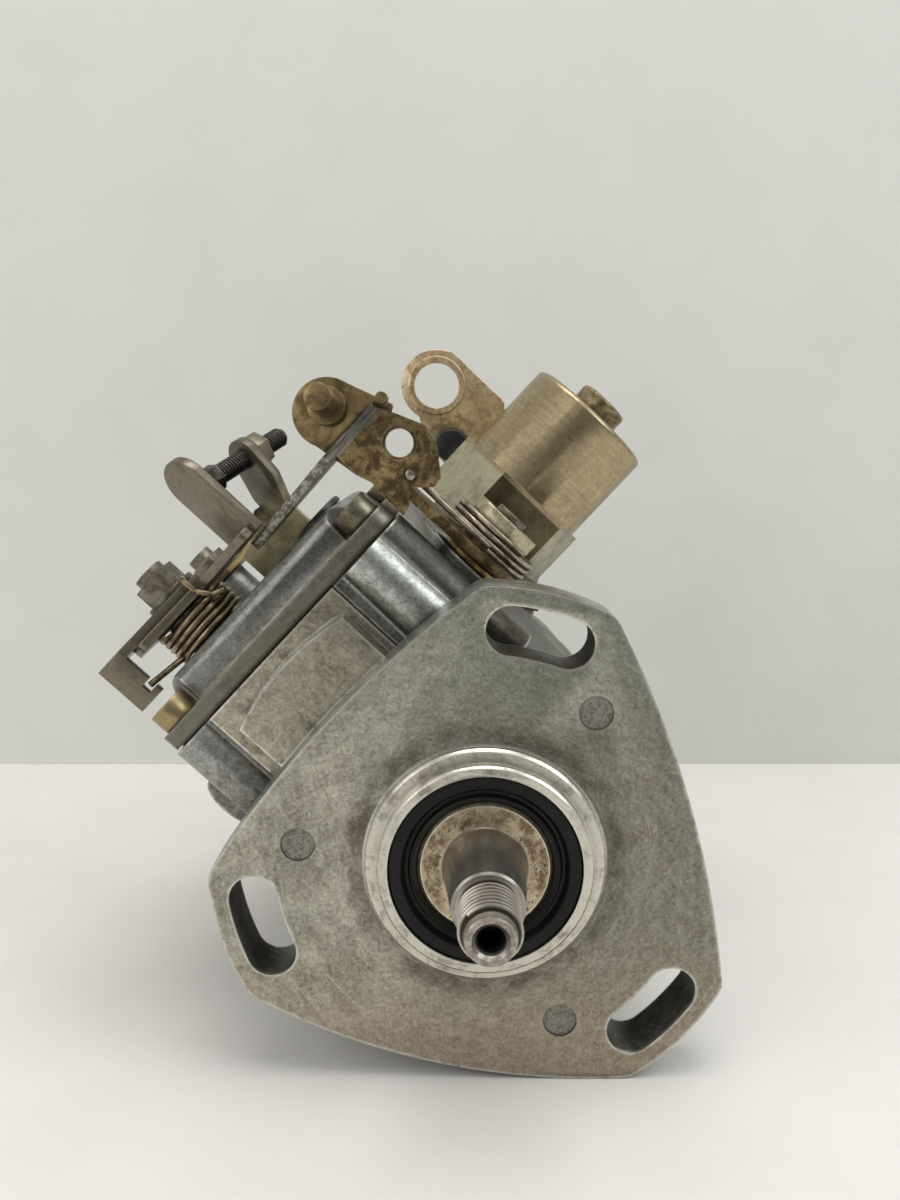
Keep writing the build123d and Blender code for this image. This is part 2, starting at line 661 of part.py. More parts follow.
ARM_SHEET = 2.0
ARM_PIVOT_UP = 28.0
ARM_TOP = 55.0
ARM_PIN_RADIUS = 2.0
arm_front = SLEEVE_FRONT + SLEEVE_LENGTH + CLEAR
arm_sheet_front = arm_front + 2.0
arm_back = arm_sheet_front + ARM_SHEET
arm_pivot_aft = arm_back + 2.5
fork_inner = HUB_RADIUS + 1.2
fork_outer = HUB_RADIUS + SLEEVE_WALL + 3.5
with BuildPart() as governor_arm:
    plate(
        across(arm_back),
        [
            (-fork_outer, -6),
            (-fork_inner, -6),
            (-fork_inner, 15),
            (fork_inner, 15),
            (fork_inner, -6),
            (fork_outer, -6),
            (fork_outer, 22),
            (9, 34),
            (6, ARM_TOP),
            (-6, ARM_TOP),
            (-9, 34),
            (-fork_outer, 22),
        ],
        ARM_SHEET,
        corner=1,
    )
    for side in (-9, 7):
        disc(beside(side), (arm_pivot_aft, ARM_PIVOT_UP), 4, 2)
        block(beside(side), (arm_back - 1, ARM_PIVOT_UP - 4), (arm_pivot_aft, ARM_PIVOT_UP + 4), 2)
    for side in (-fork_outer, fork_inner):
        block(across(arm_back - 1), (side, -2), (side + fork_outer - fork_inner, 2), arm_back - 1 - arm_front)
    disc(beside(-9), (arm_pivot_aft, ARM_PIVOT_UP), ARM_PIN_RADIUS + RUN, 18, mode=Mode.SUBTRACT)
governor_arm.part.label = "governor_arm"
export_step(governor_arm.part, "parts/governor_arm.step")

with BuildPart() as governor_pivot:
    pin_spot = (arm_pivot_aft, ARM_PIVOT_UP)
    disc(beside(chamber_left + SNUG), pin_spot, ARM_PIN_RADIUS, chamber_right - chamber_left - 2 * SNUG)
governor_pivot.part.label = "governor_pivot"
export_step(governor_pivot.part, "parts/governor_pivot.step")

ROD_UP = 50.0
ROD_RADIUS = 1.5
ROD_SIDE = 4.0
CRANK = 7.0
CRANK_PIN = 1.0
with BuildPart() as linkage_rod:
    rod_end = METER_AFT - 2
    rod_start = arm_back + CLEAR
    disc(across(rod_end), (ROD_SIDE, ROD_UP), ROD_RADIUS, rod_end - rod_start)
    block(level(ROD_UP - 1), (ROD_SIDE - 1, METER_AFT - 3), (CRANK + 2.5, METER_AFT + 2.5), 2)
    disc(level(ROD_UP - 1), (CRANK, METER_AFT), CRANK_PIN + CLEAR, 2, mode=Mode.SUBTRACT)
linkage_rod.part.label = "linkage_rod"
export_step(linkage_rod.part, "parts/linkage_rod.step")

with BuildPart() as metering_valve:
    disc(level(METER_FLOOR - METER_DEPTH + CLEAR), (0, METER_AFT), METER_RADIUS, METER_DEPTH + 6)
    crank_base = METER_FLOOR + 6
    plate(
        level(crank_base),
        [
            (-3, METER_AFT - 3),
            (CRANK + 2, METER_AFT - 2),
            (CRANK + 2, METER_AFT + 2),
            (-3, METER_AFT + 3),
        ],
        2,
        corner=1,
    )
    disc(level(crank_base), (CRANK, METER_AFT), CRANK_PIN, ROD_UP + 1 - crank_base)
metering_valve.part.label = "metering_valve"
export_step(metering_valve.part, "parts/metering_valve.step")

# ================================================================ pumping head
HEAD_SPIGOT = 7.0
HEAD_START = HOUSING_LENGTH - HEAD_SPIGOT
HEAD_LENGTH = 38.0
HEAD_END = HOUSING_LENGTH + HEAD_LENGTH
HEAD_RADIUS = 35.0
HEAD_EAR = 10.0
SHANK_RADIUS = 9.5
LINER_RADIUS = 20.0
LINER_WIDTH = 6.0
LINER_START = HEAD_END - LINER_WIDTH
OUTLET_SETBACK = 17.0
OUTLET_AFT = HOUSING_LENGTH + OUTLET_SETBACK
OUTLET_ANGLES = (25.0, 115.0, 205.0, 295.0)
OUTLET_BOSS_RADIUS = 8.0
OUTLET_BOSS_END = 38.0
OUTLET_THREAD_RADIUS = 6.0
OUTLET_THREAD_START = 30.0
OUTLET_HEX = 17.0
OUTLET_HEX_END = 43.5
OUTLET_END = 49.5
OUTLET_BORE = 1.5
END_SCREW_ANGLES = (55.0, 145.0, 235.0, 325.0)
END_SCREW_PITCH = 25.0


def outward(angle):
    """Direction square to the shaft at an angle from the side direction towards up."""
    return SIDE * cos(radians(angle)) + UP * sin(radians(angle))


with BuildPart() as hydraulic_head:
    turn(
        [
            (HEAD_START, 0),
            (HEAD_START, BORE_RADIUS - 1),
            (HEAD_START + 1, BORE_RADIUS - RUN),
            (HOUSING_LENGTH, BORE_RADIUS - RUN),
            (HOUSING_LENGTH, HEAD_RADIUS),
            (HEAD_END - 1.5, HEAD_RADIUS),
            (HEAD_END, HEAD_RADIUS - 1.5),
            (HEAD_END, 0),
        ],
        at(0, 0, 0),
        AFT,
        UP,
    )
    head_back = across(HOUSING_LENGTH + HEAD_EAR)
    for angle in HEAD_BOLT_ANGLES:
        disc(head_back, polar(HEAD_BOLT_PITCH, angle), HEAD_EAR_RADIUS, HEAD_EAR)
        half = degrees(atan2(HEAD_EAR_RADIUS, HEAD_BOLT_PITCH))
        spread = HEAD_BOLT_PITCH / cos(radians(half))
        web = [polar(HEAD_RADIUS - 8, angle - half), polar(spread, angle - half)]
        web += [polar(spread, angle + half), polar(HEAD_RADIUS - 8, angle + half)]
        plate(head_back, web, HEAD_EAR)
    for angle in OUTLET_ANGLES:
        direction = outward(angle)
        centre = at(0, OUTLET_AFT, 0)
        rod(centre + direction * OUTLET_THREAD_START, centre + direction * OUTLET_BOSS_END, OUTLET_BOSS_RADIUS)
    for angle in OUTLET_ANGLES:
        direction = outward(angle)
        centre = at(0, OUTLET_AFT, 0)
        thread_start = centre + direction * OUTLET_THREAD_START
        rod(centre, thread_start, OUTLET_BORE, mode=Mode.SUBTRACT)
        boss_end = centre + direction * (OUTLET_BOSS_END + 1)
        rod(thread_start, boss_end, OUTLET_THREAD_RADIUS + SNUG, mode=Mode.SUBTRACT)
    rod(at(0, HEAD_START - 1, 0), at(0, HEAD_END, 0), SHANK_RADIUS + RUN, mode=Mode.SUBTRACT)
    rod(at(0, LINER_START, 0), at(0, HEAD_END + 1, 0), LINER_RADIUS + SNUG, mode=Mode.SUBTRACT)
    for angle in HEAD_BOLT_ANGLES:
        disc(head_back, polar(HEAD_BOLT_PITCH, angle), BOLT_RADIUS + SNUG, HEAD_EAR, mode=Mode.SUBTRACT)
    for angle in END_SCREW_ANGLES:
        disc(across(HEAD_END), polar(END_SCREW_PITCH, angle), SCREW_RADIUS + SNUG, 8, mode=Mode.SUBTRACT)
hydraulic_head.part.label = "hydraulic_head"
export_step(hydraulic_head.part, "parts/hydraulic_head.step")

with BuildPart() as outlet_unions:
    for angle in OUTLET_ANGLES:
        direction = outward(angle)
        centre = at(0, OUTLET_AFT, 0)
        rod(
            centre + direction * (OUTLET_THREAD_START + 1),
            centre + direction * OUTLET_END,
            OUTLET_THREAD_RADIUS,
        )
        hex_plane = Plane(origin=centre + direction * OUTLET_BOSS_END, x_dir=AFT, z_dir=direction)
        hexagon(hex_plane, (0, 0), OUTLET_HEX, OUTLET_HEX_END - OUTLET_BOSS_END)
        bore_start = centre + direction * OUTLET_THREAD_START
        bore_end = centre + direction * (OUTLET_END + 1)
        rod(bore_start, bore_end, OUTLET_BORE, mode=Mode.SUBTRACT)
outlet_unions.part.label = "outlet_unions"
export_step(outlet_unions.part, "parts/outlet_unions.step")

ROTOR_RADIUS = 22.0
ROTOR_INSET = 0.5
ROTOR_START = CAM_START + ROTOR_INSET
ROTOR_END = CAM_START + CAM_WIDTH - ROTOR_INSET
STUB_RADIUS = 5.0
SHOE_HALF = 5.5
SHOE_INNER = 12.0
ROLLER_RADIUS = 4.5
ROLLER_CENTRE = 20.5
ROLLER_FRONT = ROTOR_START + 1.0
ROLLER_BACK = ROTOR_END - 1.0
PLUNGER_RADIUS = 3.5
PLUNGER_INNER = 1.0
PLUNGER_STROKE = 1.5
element_middle = (ROTOR_START + ROTOR_END) / 2
with BuildPart() as distributor_rotor:
    turn(
        [
            (HUB_END - SOCKET_DEPTH + CLEAR, 0),
            (HUB_END - SOCKET_DEPTH + CLEAR, SOCKET_RADIUS),
            (ROTOR_START, SOCKET_RADIUS),
            (ROTOR_START, ROTOR_RADIUS),
            (ROTOR_END, ROTOR_RADIUS),
            (ROTOR_END, SHANK_RADIUS),
            (LINER_START, SHANK_RADIUS),
            (LINER_START, STUB_RADIUS),
            (HEAD_END - 1, STUB_RADIUS),
            (HEAD_END - 1, 0),
        ],
        at(0, 0, 0),
        AFT,
        UP,
    )
    for low, high in ((SHOE_INNER, ROTOR_RADIUS + 1), (-ROTOR_RADIUS - 1, -SHOE_INNER)):
        block(
            across(ROTOR_END + 1),
            (low, -SHOE_HALF - RUN),
            (high, SHOE_HALF + RUN),
            ROTOR_END - ROTOR_START + 2,
            mode=Mode.SUBTRACT,
        )
    disc(
        beside(-SHOE_INNER - 1),
        (element_middle, 0),
        PLUNGER_RADIUS + RUN,
        2 * SHOE_INNER + 2,
        mode=Mode.SUBTRACT,
    )
distributor_rotor.part.label = "distributor_rotor"
export_step(distributor_rotor.part, "parts/distributor_rotor.step")

for letter, sign in (("a", 1), ("b", -1)):
    with BuildPart() as pumping_plunger:
        inner_end = at(sign * PLUNGER_INNER, element_middle, 0)
        rod(inner_end, at(sign * SHOE_INNER, element_middle, 0), PLUNGER_RADIUS)
    pumping_plunger.part.label = f"pumping_plunger_{letter}"
    export_step(pumping_plunger.part, f"parts/pumping_plunger_{letter}.step")

    with BuildPart() as roller_shoe:
        sides = sorted((sign * SHOE_INNER, sign * ROLLER_CENTRE))
        block(
            across(ROLLER_BACK),
            (sides[0], -SHOE_HALF),
            (sides[1], SHOE_HALF),
            ROLLER_BACK - ROLLER_FRONT,
        )
        roller_spot = (sign * ROLLER_CENTRE, 0)
        disc(
            across(ROLLER_BACK + 1),
            roller_spot,
            ROLLER_RADIUS + RUN,
            ROLLER_BACK - ROLLER_FRONT + 2,
            mode=Mode.SUBTRACT,
        )
        disc(across(ROLLER_BACK), roller_spot, ROLLER_RADIUS, ROLLER_BACK - ROLLER_FRONT)
    roller_shoe.part.label = f"roller_shoe_{letter}"
    export_step(roller_shoe.part, f"parts/roller_shoe_{letter}.step")

LOBE_HEIGHT = 1.4
LOBE_HALF = 12.0
cam_base = ROLLER_CENTRE + ROLLER_RADIUS + PLUNGER_STROKE + CLEAR
cam_outline = []
for step in range(72):
    angle = step * 5.0
    from_lobe = abs((angle % 90) - 45)
    height = LOBE_HEIGHT * max(0.0, 1 - (from_lobe / LOBE_HALF) ** 2)
    cam_outline.append(polar(cam_base - height, angle))
PIN_NECK = 2.2
PIN_BALL = 3.4
with BuildPart() as cam_ring:
    disc(across(CAM_START + CAM_WIDTH), (0, 0), BORE_RADIUS - 2 * RUN, CAM_WIDTH)
    plate(across(CAM_START + CAM_WIDTH), cam_outline, CAM_WIDTH, mode=Mode.SUBTRACT)
    rod(at(0, cam_middle, -20), at(0, cam_middle, -40), PIN_NECK + SNUG, mode=Mode.SUBTRACT)
cam_ring.part.label = "cam_ring"
export_step(cam_ring.part, "parts/cam_ring.step")

with BuildPart() as advance_pin:
    rod(at(0, cam_middle, -cam_base - 0.4), at(0, cam_middle, ADVANCE_UP), PIN_NECK)
    with Locations(at(0, cam_middle, ADVANCE_UP)):
        Sphere(PIN_BALL)
advance_pin.part.label = "advance_pin"
export_step(advance_pin.part, "parts/advance_pin.step")

PISTON_LEFT = -13.7
PISTON_RIGHT = 10.0
with BuildPart() as advance_piston:
    disc(beside(PISTON_LEFT), advance_spot, ADVANCE_BORE - RUN, PISTON_RIGHT - PISTON_LEFT)
    rod(
        at(0, cam_middle, ADVANCE_UP - PIN_BALL - 1),
        at(0, cam_middle, ADVANCE_UP + ADVANCE_BORE + 1),
        PIN_BALL + 0.35,
        mode=Mode.SUBTRACT,
    )
advance_piston.part.label = "advance_piston"
export_step(advance_piston.part, "parts/advance_piston.step")

CAP_REACH = 3.5
CAP_HEAD_RADIUS = 8.4
CAP_HEAD = 2.5
CAP_SOCKET = 8.0
with BuildPart() as advance_caps:
    left_end, right_end = ADVANCE_ENDS
    disc(beside(left_end - CAP_HEAD), advance_spot, CAP_HEAD_RADIUS, CAP_HEAD)
    disc(beside(left_end), advance_spot, ADVANCE_BORE - SNUG, CAP_REACH)
    disc(beside(right_end), advance_spot, CAP_HEAD_RADIUS, CAP_HEAD)
    disc(beside(right_end - CAP_REACH), advance_spot, ADVANCE_BORE - SNUG, CAP_REACH)
    for start in (left_end - CAP_HEAD, right_end + CAP_HEAD - 4):
        hexagon(beside(start), advance_spot, CAP_SOCKET, 4, mode=Mode.SUBTRACT)
advance_caps.part.label = "advance_caps"
export_step(advance_caps.part, "parts/advance_caps.step")

SPRING_WIRE = 0.8
with BuildPart() as advance_spring:
    spring_start = PISTON_RIGHT + SPRING_WIRE + 0.1
    spring_end = right_end - CAP_REACH - SPRING_WIRE - 0.1
    coil(at(spring_start, cam_middle, ADVANCE_UP), SIDE, 5.0, SPRING_WIRE, 4.0, spring_end - spring_start)
advance_spring.part.label = "advance_spring"
export_step(advance_spring.part, "parts/advance_spring.step")

# ================================================================ transfer pump and end plate
BLADE_REACH = 13.3
BLADE_ROOT = 6.0
BLADE_HALF = 1.5
TRANSFER_RADIUS = 12.0
LINER_BORE = 15.0
LINER_OFFSET = 1.4
with BuildPart() as transfer_liner:
    disc(across(HEAD_END), (0, 0), LINER_RADIUS, HEAD_END - LINER_START)
    disc(across(HEAD_END), (LINER_OFFSET, 0), LINER_BORE, HEAD_END - LINER_START, mode=Mode.SUBTRACT)
transfer_liner.part.label = "transfer_liner"
export_step(transfer_liner.part, "parts/transfer_liner.step")

rotor_back = HEAD_END - RUN
rotor_width = HEAD_END - LINER_START - 2 * RUN
with BuildPart() as transfer_rotor:
    disc(across(rotor_back), (0, 0), TRANSFER_RADIUS, rotor_width)
    disc(across(rotor_back), (0, 0), STUB_RADIUS + SNUG, rotor_width, mode=Mode.SUBTRACT)
    for low, high in ((BLADE_ROOT, TRANSFER_RADIUS + 1), (-TRANSFER_RADIUS - 1, -BLADE_ROOT)):
        block(
            across(rotor_back),
            (-BLADE_HALF - SNUG, low),
            (BLADE_HALF + SNUG, high),
            rotor_width,
            mode=Mode.SUBTRACT,
        )
transfer_rotor.part.label = "transfer_rotor"
export_step(transfer_rotor.part, "parts/transfer_rotor.step")

with BuildPart() as transfer_blades:
    for low, high in ((BLADE_ROOT + SNUG, BLADE_REACH), (-BLADE_REACH, -BLADE_ROOT - SNUG)):
        block(across(rotor_back), (-BLADE_HALF, low), (BLADE_HALF, high), rotor_width)
transfer_blades.part.label = "transfer_blades"
export_step(transfer_blades.part, "parts/transfer_blades.step")

END_RADIUS = 30.0
END_THICK = 7.0
HUB_OUTER = 17.0
CHAMBER_RADIUS = 8.0
INLET_SETBACK = 15.0
INLET_AFT = HEAD_END + INLET_SETBACK
CHAMBER_BACK = INLET_AFT + 3.0
HUB_BACK = CHAMBER_BACK + 5.0
INLET_ANGLE = 190.0
INLET_BOSS_RADIUS = 10.0
INLET_BOSS_END = 31.0
INLET_HEX = 17.0
INLET_HEX_END = 38.0
INLET_THREAD_RADIUS = 6.0
INLET_BORE = 2.5
INLET_END = 55.0
inlet_direction = outward(INLET_ANGLE)
inlet_centre = at(0, INLET_AFT, 0)
with BuildPart() as end_plate:
    turn(
        [
            (HEAD_END, CHAMBER_RADIUS),
            (HEAD_END, END_RADIUS),
            (HEAD_END + END_THICK - 1.5, END_RADIUS),
            (HEAD_END + END_THICK, END_RADIUS - 1.5),
            (HEAD_END + END_THICK, HUB_OUTER),
            (HUB_BACK - 2, HUB_OUTER),
            (HUB_BACK, HUB_OUTER - 2),
            (HUB_BACK, 0),
            (CHAMBER_BACK, 0),
            (CHAMBER_BACK, CHAMBER_RADIUS),
        ],
        at(0, 0, 0),
        AFT,
        UP,
    )
    rod(
        inlet_centre + inlet_direction * (CHAMBER_RADIUS + 3),
        inlet_centre + inlet_direction * INLET_BOSS_END,
        INLET_BOSS_RADIUS,
    )
    rod(
        inlet_centre,
        inlet_centre + inlet_direction * (INLET_BOSS_END - 10),
        INLET_BORE,
        mode=Mode.SUBTRACT,
    )
    rod(
        inlet_centre + inlet_direction * (INLET_BOSS_END - 10),
        inlet_centre + inlet_direction * (INLET_BOSS_END + 1),
        INLET_THREAD_RADIUS + SNUG,
        mode=Mode.SUBTRACT,
    )
    for angle in END_SCREW_ANGLES:
        spot = polar(END_SCREW_PITCH, angle)
        disc(across(HEAD_END + END_THICK), spot, SCREW_RADIUS + SNUG, END_THICK, mode=Mode.SUBTRACT)
end_plate.part.label = "end_plate"
export_step(end_plate.part, "parts/end_plate.step")

END_SCREW_HEAD = 4.0
with BuildPart() as end_plate_screws:
    for angle in END_SCREW_ANGLES:
        spot = polar(END_SCREW_PITCH, angle)
        disc(across(HEAD_END + END_THICK + END_SCREW_HEAD), spot, 4.0, END_SCREW_HEAD)
        disc(across(HEAD_END + END_THICK), spot, SCREW_RADIUS, END_THICK + 7)
end_plate_screws.part.label = "end_plate_screws"
export_step(end_plate_screws.part, "parts/end_plate_screws.step")

with BuildPart() as inlet_union:
    turn(
        [
            (INLET_BOSS_END - 9, INLET_BORE),
            (INLET_BOSS_END - 9, INLET_THREAD_RADIUS),
            (INLET_BOSS_END, INLET_THREAD_RADIUS),
            (INLET_HEX_END, INLET_THREAD_RADIUS),
            (INLET_HEX_END + 2, HOSE_RADIUS),
            (INLET_END - 1, HOSE_RADIUS),
            (INLET_END, HOSE_RADIUS - 0.6),
            (INLET_END, INLET_BORE),
        ],
        inlet_centre,
        inlet_direction,
        AFT,
    )
    hex_plane = Plane(origin=inlet_centre + inlet_direction * INLET_BOSS_END, x_dir=AFT, z_dir=inlet_direction)
    hexagon(hex_plane, (0, 0), INLET_HEX, INLET_HEX_END - INLET_BOSS_END)
    rod(
        inlet_centre + inlet_direction * 20,
        inlet_centre + inlet_direction * (INLET_END + 1),
        INLET_BORE,
        mode=Mode.SUBTRACT,
    )
inlet_union.part.label = "inlet_union"
export_step(inlet_union.part, "parts/inlet_union.step")

# ================================================================ stop solenoid
HEX_ACROSS = 36.0
HEX_TURN = 37.7
HEX_END = 62.0
CAN_RADIUS = 18.3
CAN_END = 88.5
CAN_ROUND = 1.6
TERMINAL_RADIUS = 7.0
TERMINAL_END = 94.0
ARMATURE_RADIUS = 5.0
ARMATURE_LEFT = 36.0
ARMATURE_RIGHT = 56.0
ARMATURE_BORE_END = 60.0
valve_spot = (VALVE_AFT, VALVE_UP)
with BuildPart() as solenoid_body:
    disc(beside(HEX_END), valve_spot, CAN_RADIUS, CAN_END - HEX_END)
    fillet(solenoid_body.faces().sort_by(Axis(at(0, 0, 0), SIDE))[-1].edges(), CAN_ROUND)
    hexagon(beside(VALVE_SEAT), valve_spot, HEX_ACROSS, HEX_END - VALVE_SEAT, turned=HEX_TURN)
    disc(beside(VALVE_SEAT - 12), valve_spot, VALVE_THREAD_RADIUS, 12)
    disc(
        beside(VALVE_SEAT - 13),
        valve_spot,
        ARMATURE_RADIUS + RUN,
        ARMATURE_BORE_END - VALVE_SEAT + 13,
        mode=Mode.SUBTRACT,
    )
solenoid_body.part.label = "solenoid_body"
export_step(solenoid_body.part, "parts/solenoid_body.step")

with BuildPart() as solenoid_plunger:
    disc(beside(ARMATURE_LEFT), valve_spot, ARMATURE_RADIUS, ARMATURE_RIGHT - ARMATURE_LEFT)
solenoid_plunger.part.label = "solenoid_plunger"
export_step(solenoid_plunger.part, "parts/solenoid_plunger.step")

with BuildPart() as solenoid_terminal:
    disc(beside(CAN_END), valve_spot, TERMINAL_RADIUS, TERMINAL_END - CAN_END)
    fillet(solenoid_terminal.faces().sort_by(Axis(at(0, 0, 0), SIDE))[-1].edges(), 1)
solenoid_terminal.part.label = "solenoid_terminal"
export_step(solenoid_terminal.part, "parts/solenoid_terminal.step")

# ================================================================ rear bracket
EYE_SPOT = (66.5, 77.3)
EYE_RIM = 10.1
EYE_HOLE = 6.4
EYE_BUSH = 8.2
EYE_BUSH_PROUD = 1.0
BRACKET_SHEET = 3.0
CLIP_SPOT = (57.0, 62.6)
CLIP_RADIUS = 4.5
CLIP_HEAD = 4.0
bracket_back = column_back + BRACKET_SHEET
with BuildPart() as eye_bracket:
    plate(
        across(bracket_back),
        [
            (24.5, 30),
            (24.5, 54),
            (44, 55),
            (52, 58),
            (52, 66),
            (56.6, 75),
            (EYE_SPOT[0], EYE_SPOT[1] + 3),
            (76.5, 82),
            (76.5, 60),
            (70, 53),
            (40, 33),
            (36, 30),
        ],
        BRACKET_SHEET,
        corner=1.5,
    )
    disc(across(bracket_back), EYE_SPOT, EYE_RIM, BRACKET_SHEET)
    eye_back = across(bracket_back + EYE_BUSH_PROUD)
    disc(eye_back, EYE_SPOT, EYE_BUSH, BRACKET_SHEET + 2 * EYE_BUSH_PROUD)
    disc(eye_back, EYE_SPOT, EYE_HOLE, BRACKET_SHEET + 2 * EYE_BUSH_PROUD, mode=Mode.SUBTRACT)
    for spot in BRACKET_BOLTS:
        disc(across(bracket_back), spot, BOLT_RADIUS + SNUG, BRACKET_SHEET, mode=Mode.SUBTRACT)
    disc(across(bracket_back), CLIP_SPOT, SCREW_RADIUS + SNUG, BRACKET_SHEET, mode=Mode.SUBTRACT)
eye_bracket.part.label = "eye_bracket"
export_step(eye_bracket.part, "parts/eye_bracket.step")

with BuildPart() as clip_screw:
    disc(across(column_back), CLIP_SPOT, CLIP_RADIUS, CLIP_HEAD)
    disc(across(bracket_back + 2), CLIP_SPOT, SCREW_RADIUS, BRACKET_SHEET + 2)
clip_screw.part.label = "clip_screw"
export_step(clip_screw.part, "parts/clip_screw.step")

with BuildPart() as hex_bolts:
    seats = [(HOUSING_LENGTH + HEAD_EAR, polar(HEAD_BOLT_PITCH, angle)) for angle in HEAD_BOLT_ANGLES]
    seats += [(bracket_back, spot) for spot in BRACKET_BOLTS]
    for seat, spot in seats:
        shank = HEAD_EAR + BOLT_DEPTH if seat > bracket_back else BRACKET_SHEET + BRACKET_BOLT_DEPTH
        hexagon(across(seat + BOLT_HEAD), spot, BOLT_FLATS, BOLT_HEAD)
        disc(across(seat), spot, BOLT_RADIUS, shank)
hex_bolts.part.label = "hex_bolts"
export_step(hex_bolts.part, "parts/hex_bolts.step")

# ================================================================ stop screw and its bracket
STOP_ALONG = (SIDE * 0.70 + AFT * 0.70 - UP * 0.14).normalized()
STOP_ACROSS = (AFT - SIDE).normalized()
STOP_TIP = at(11.2, 43.2, 99.5)
STOP_LENGTH = 27.0
STOP_SCREW_RADIUS = 2.5
EAR_GAP = 13.0
EAR_HALF = 5.0
UPRIGHT_AFT = 57.0
stop_plane = Plane(
    origin=STOP_TIP + STOP_ALONG * EAR_GAP,
    x_dir=STOP_ACROSS,
    z_dir=STOP_ALONG,
)
with BuildPart() as stop_bracket:
    plate(
        across(UPRIGHT_AFT + BRACKET_SHEET),
        [(1.2, 74), (1.2, 82.3), (5, 83.5), (12, 88), (19.6, 86), (19.6, 74)],
        BRACKET_SHEET,
        corner=1,
    )
    block(level(dome_top), (2.5, UPRIGHT_AFT), (18.5, FOOT_SCREW[1] + 6), LEVER_SHEET)
    plate(
        stop_plane,
        [(EAR_HALF + 3, -15), (EAR_HALF + 3, -8), (EAR_HALF, 0), (-EAR_HALF, 0), (-EAR_HALF, -8), (-1, -15)],
        LEVER_SHEET,
    )
    disc(stop_plane, (0, 0), EAR_HALF, LEVER_SHEET)
    disc(stop_plane, (0, 0), STOP_SCREW_RADIUS + SNUG, LEVER_SHEET, mode=Mode.SUBTRACT)
    disc(level(dome_top), FOOT_SCREW, SCREW_RADIUS + SNUG, LEVER_SHEET, mode=Mode.SUBTRACT)
stop_bracket.part.label = "stop_bracket"
export_step(stop_bracket.part, "parts/stop_bracket.step")

with BuildPart() as bracket_screw:
    hexagon(level(dome_top + LEVER_SHEET), FOOT_SCREW, 8, 3.5)
    disc(level(dome_top - DOME_WALL), FOOT_SCREW, SCREW_RADIUS, DOME_WALL + LEVER_SHEET)
bracket_screw.part.label = "bracket_screw"
export_step(bracket_screw.part, "parts/bracket_screw.step")

with BuildPart() as stop_screw:
    rod(STOP_TIP, STOP_TIP + STOP_ALONG * STOP_LENGTH, STOP_SCREW_RADIUS)
stop_screw.part.label = "stop_screw"
export_step(stop_screw.part, "parts/stop_screw.step")

with BuildPart() as stop_screw_nut:
    nut_plane = Plane(
        origin=STOP_TIP + STOP_ALONG * (EAR_GAP + LEVER_SHEET),
        x_dir=STOP_ACROSS,
        z_dir=STOP_ALONG,
    )
    hexagon(nut_plane, (0, 0), 8, 4)
    disc(nut_plane, (0, 0), STOP_SCREW_RADIUS + SNUG, 4, mode=Mode.SUBTRACT)
stop_screw_nut.part.label = "stop_screw_nut"
export_step(stop_screw_nut.part, "parts/stop_screw_nut.step")

# ================================================================ throttle lever
SPINDLE_TOP = 96.5
SPINDLE_LOW = 58.0
ANCHOR_SHEET = 2.4
NUT_WASHER = 1.4
NUT_FLATS = 10.0
NUT_HEIGHT = 5.3
spindle_spot = (SPINDLE_SIDE, SPINDLE_AFT)
anchor_base = lever_base + LEVER_SHEET
washer_base = anchor_base + ANCHOR_SHEET
with BuildPart() as throttle_spindle:
    disc(level(SPINDLE_LOW), spindle_spot, SPINDLE_RADIUS, SPINDLE_TOP - SPINDLE_LOW)
throttle_spindle.part.label = "throttle_spindle"
export_step(throttle_spindle.part, "parts/throttle_spindle.step")

THROTTLE_EAR = at(8.0, 42.0, 0)
EAR_WIDTH = 6.8
EAR_TOP = 102.0
ear_plane = Plane(origin=THROTTLE_EAR, x_dir=STOP_ACROSS, z_dir=(SIDE + AFT).normalized())
with BuildPart() as throttle_lever:
    plate(
        level(lever_base),
        [(-27, 37), (-31, 42), (-24, 54), (-16, 59), (-7, 54), (4, 48.5), (13, 39), (9, 36), (-8, 42)],
        LEVER_SHEET,
        corner=2,
    )
    block(ear_plane, (-EAR_WIDTH, lever_base), (EAR_WIDTH, EAR_TOP), LEVER_SHEET)
    disc(ear_plane, (0, EAR_TOP), EAR_WIDTH, LEVER_SHEET)
    disc(level(lever_base), spindle_spot, SPINDLE_RADIUS + SNUG, LEVER_SHEET, mode=Mode.SUBTRACT)
throttle_lever.part.label = "throttle_lever"
export_step(throttle_lever.part, "parts/throttle_lever.step")

COIL_RADIUS = 9.8
COIL_WIRE = 0.9
NOTCH_UP = 77.0
with BuildPart() as spring_anchor_plate:
    plate(
        level(anchor_base),
        [(-38.5, 37), (-38.5, 41), (-23, 56), (-16, 58.2), (-8, 51), (-12, 43), (-31.5, 37)],
        ANCHOR_SHEET,
        corner=1,
    )
    block(across(37 + ANCHOR_SHEET), (-38.5, 74), (-31.5, washer_base), ANCHOR_SHEET)
    block(across(40), (-34, NOTCH_UP - 1.2), (-31, NOTCH_UP + 1.2), 4, mode=Mode.SUBTRACT)
    disc(level(anchor_base), spindle_spot, SPINDLE_RADIUS + SNUG, ANCHOR_SHEET, mode=Mode.SUBTRACT)
spring_anchor_plate.part.label = "spring_anchor_plate"
export_step(spring_anchor_plate.part, "parts/spring_anchor_plate.step")

with BuildPart() as spindle_nut:
    disc(level(washer_base), spindle_spot, 7, NUT_WASHER)
    hexagon(level(washer_base + NUT_WASHER), spindle_spot, NUT_FLATS, NUT_HEIGHT, turned=20)
    disc(level(washer_base), spindle_spot, SPINDLE_RADIUS + SNUG, NUT_WASHER + NUT_HEIGHT, mode=Mode.SUBTRACT)
spindle_nut.part.label = "spindle_nut"
export_step(spindle_nut.part, "parts/spindle_nut.step")

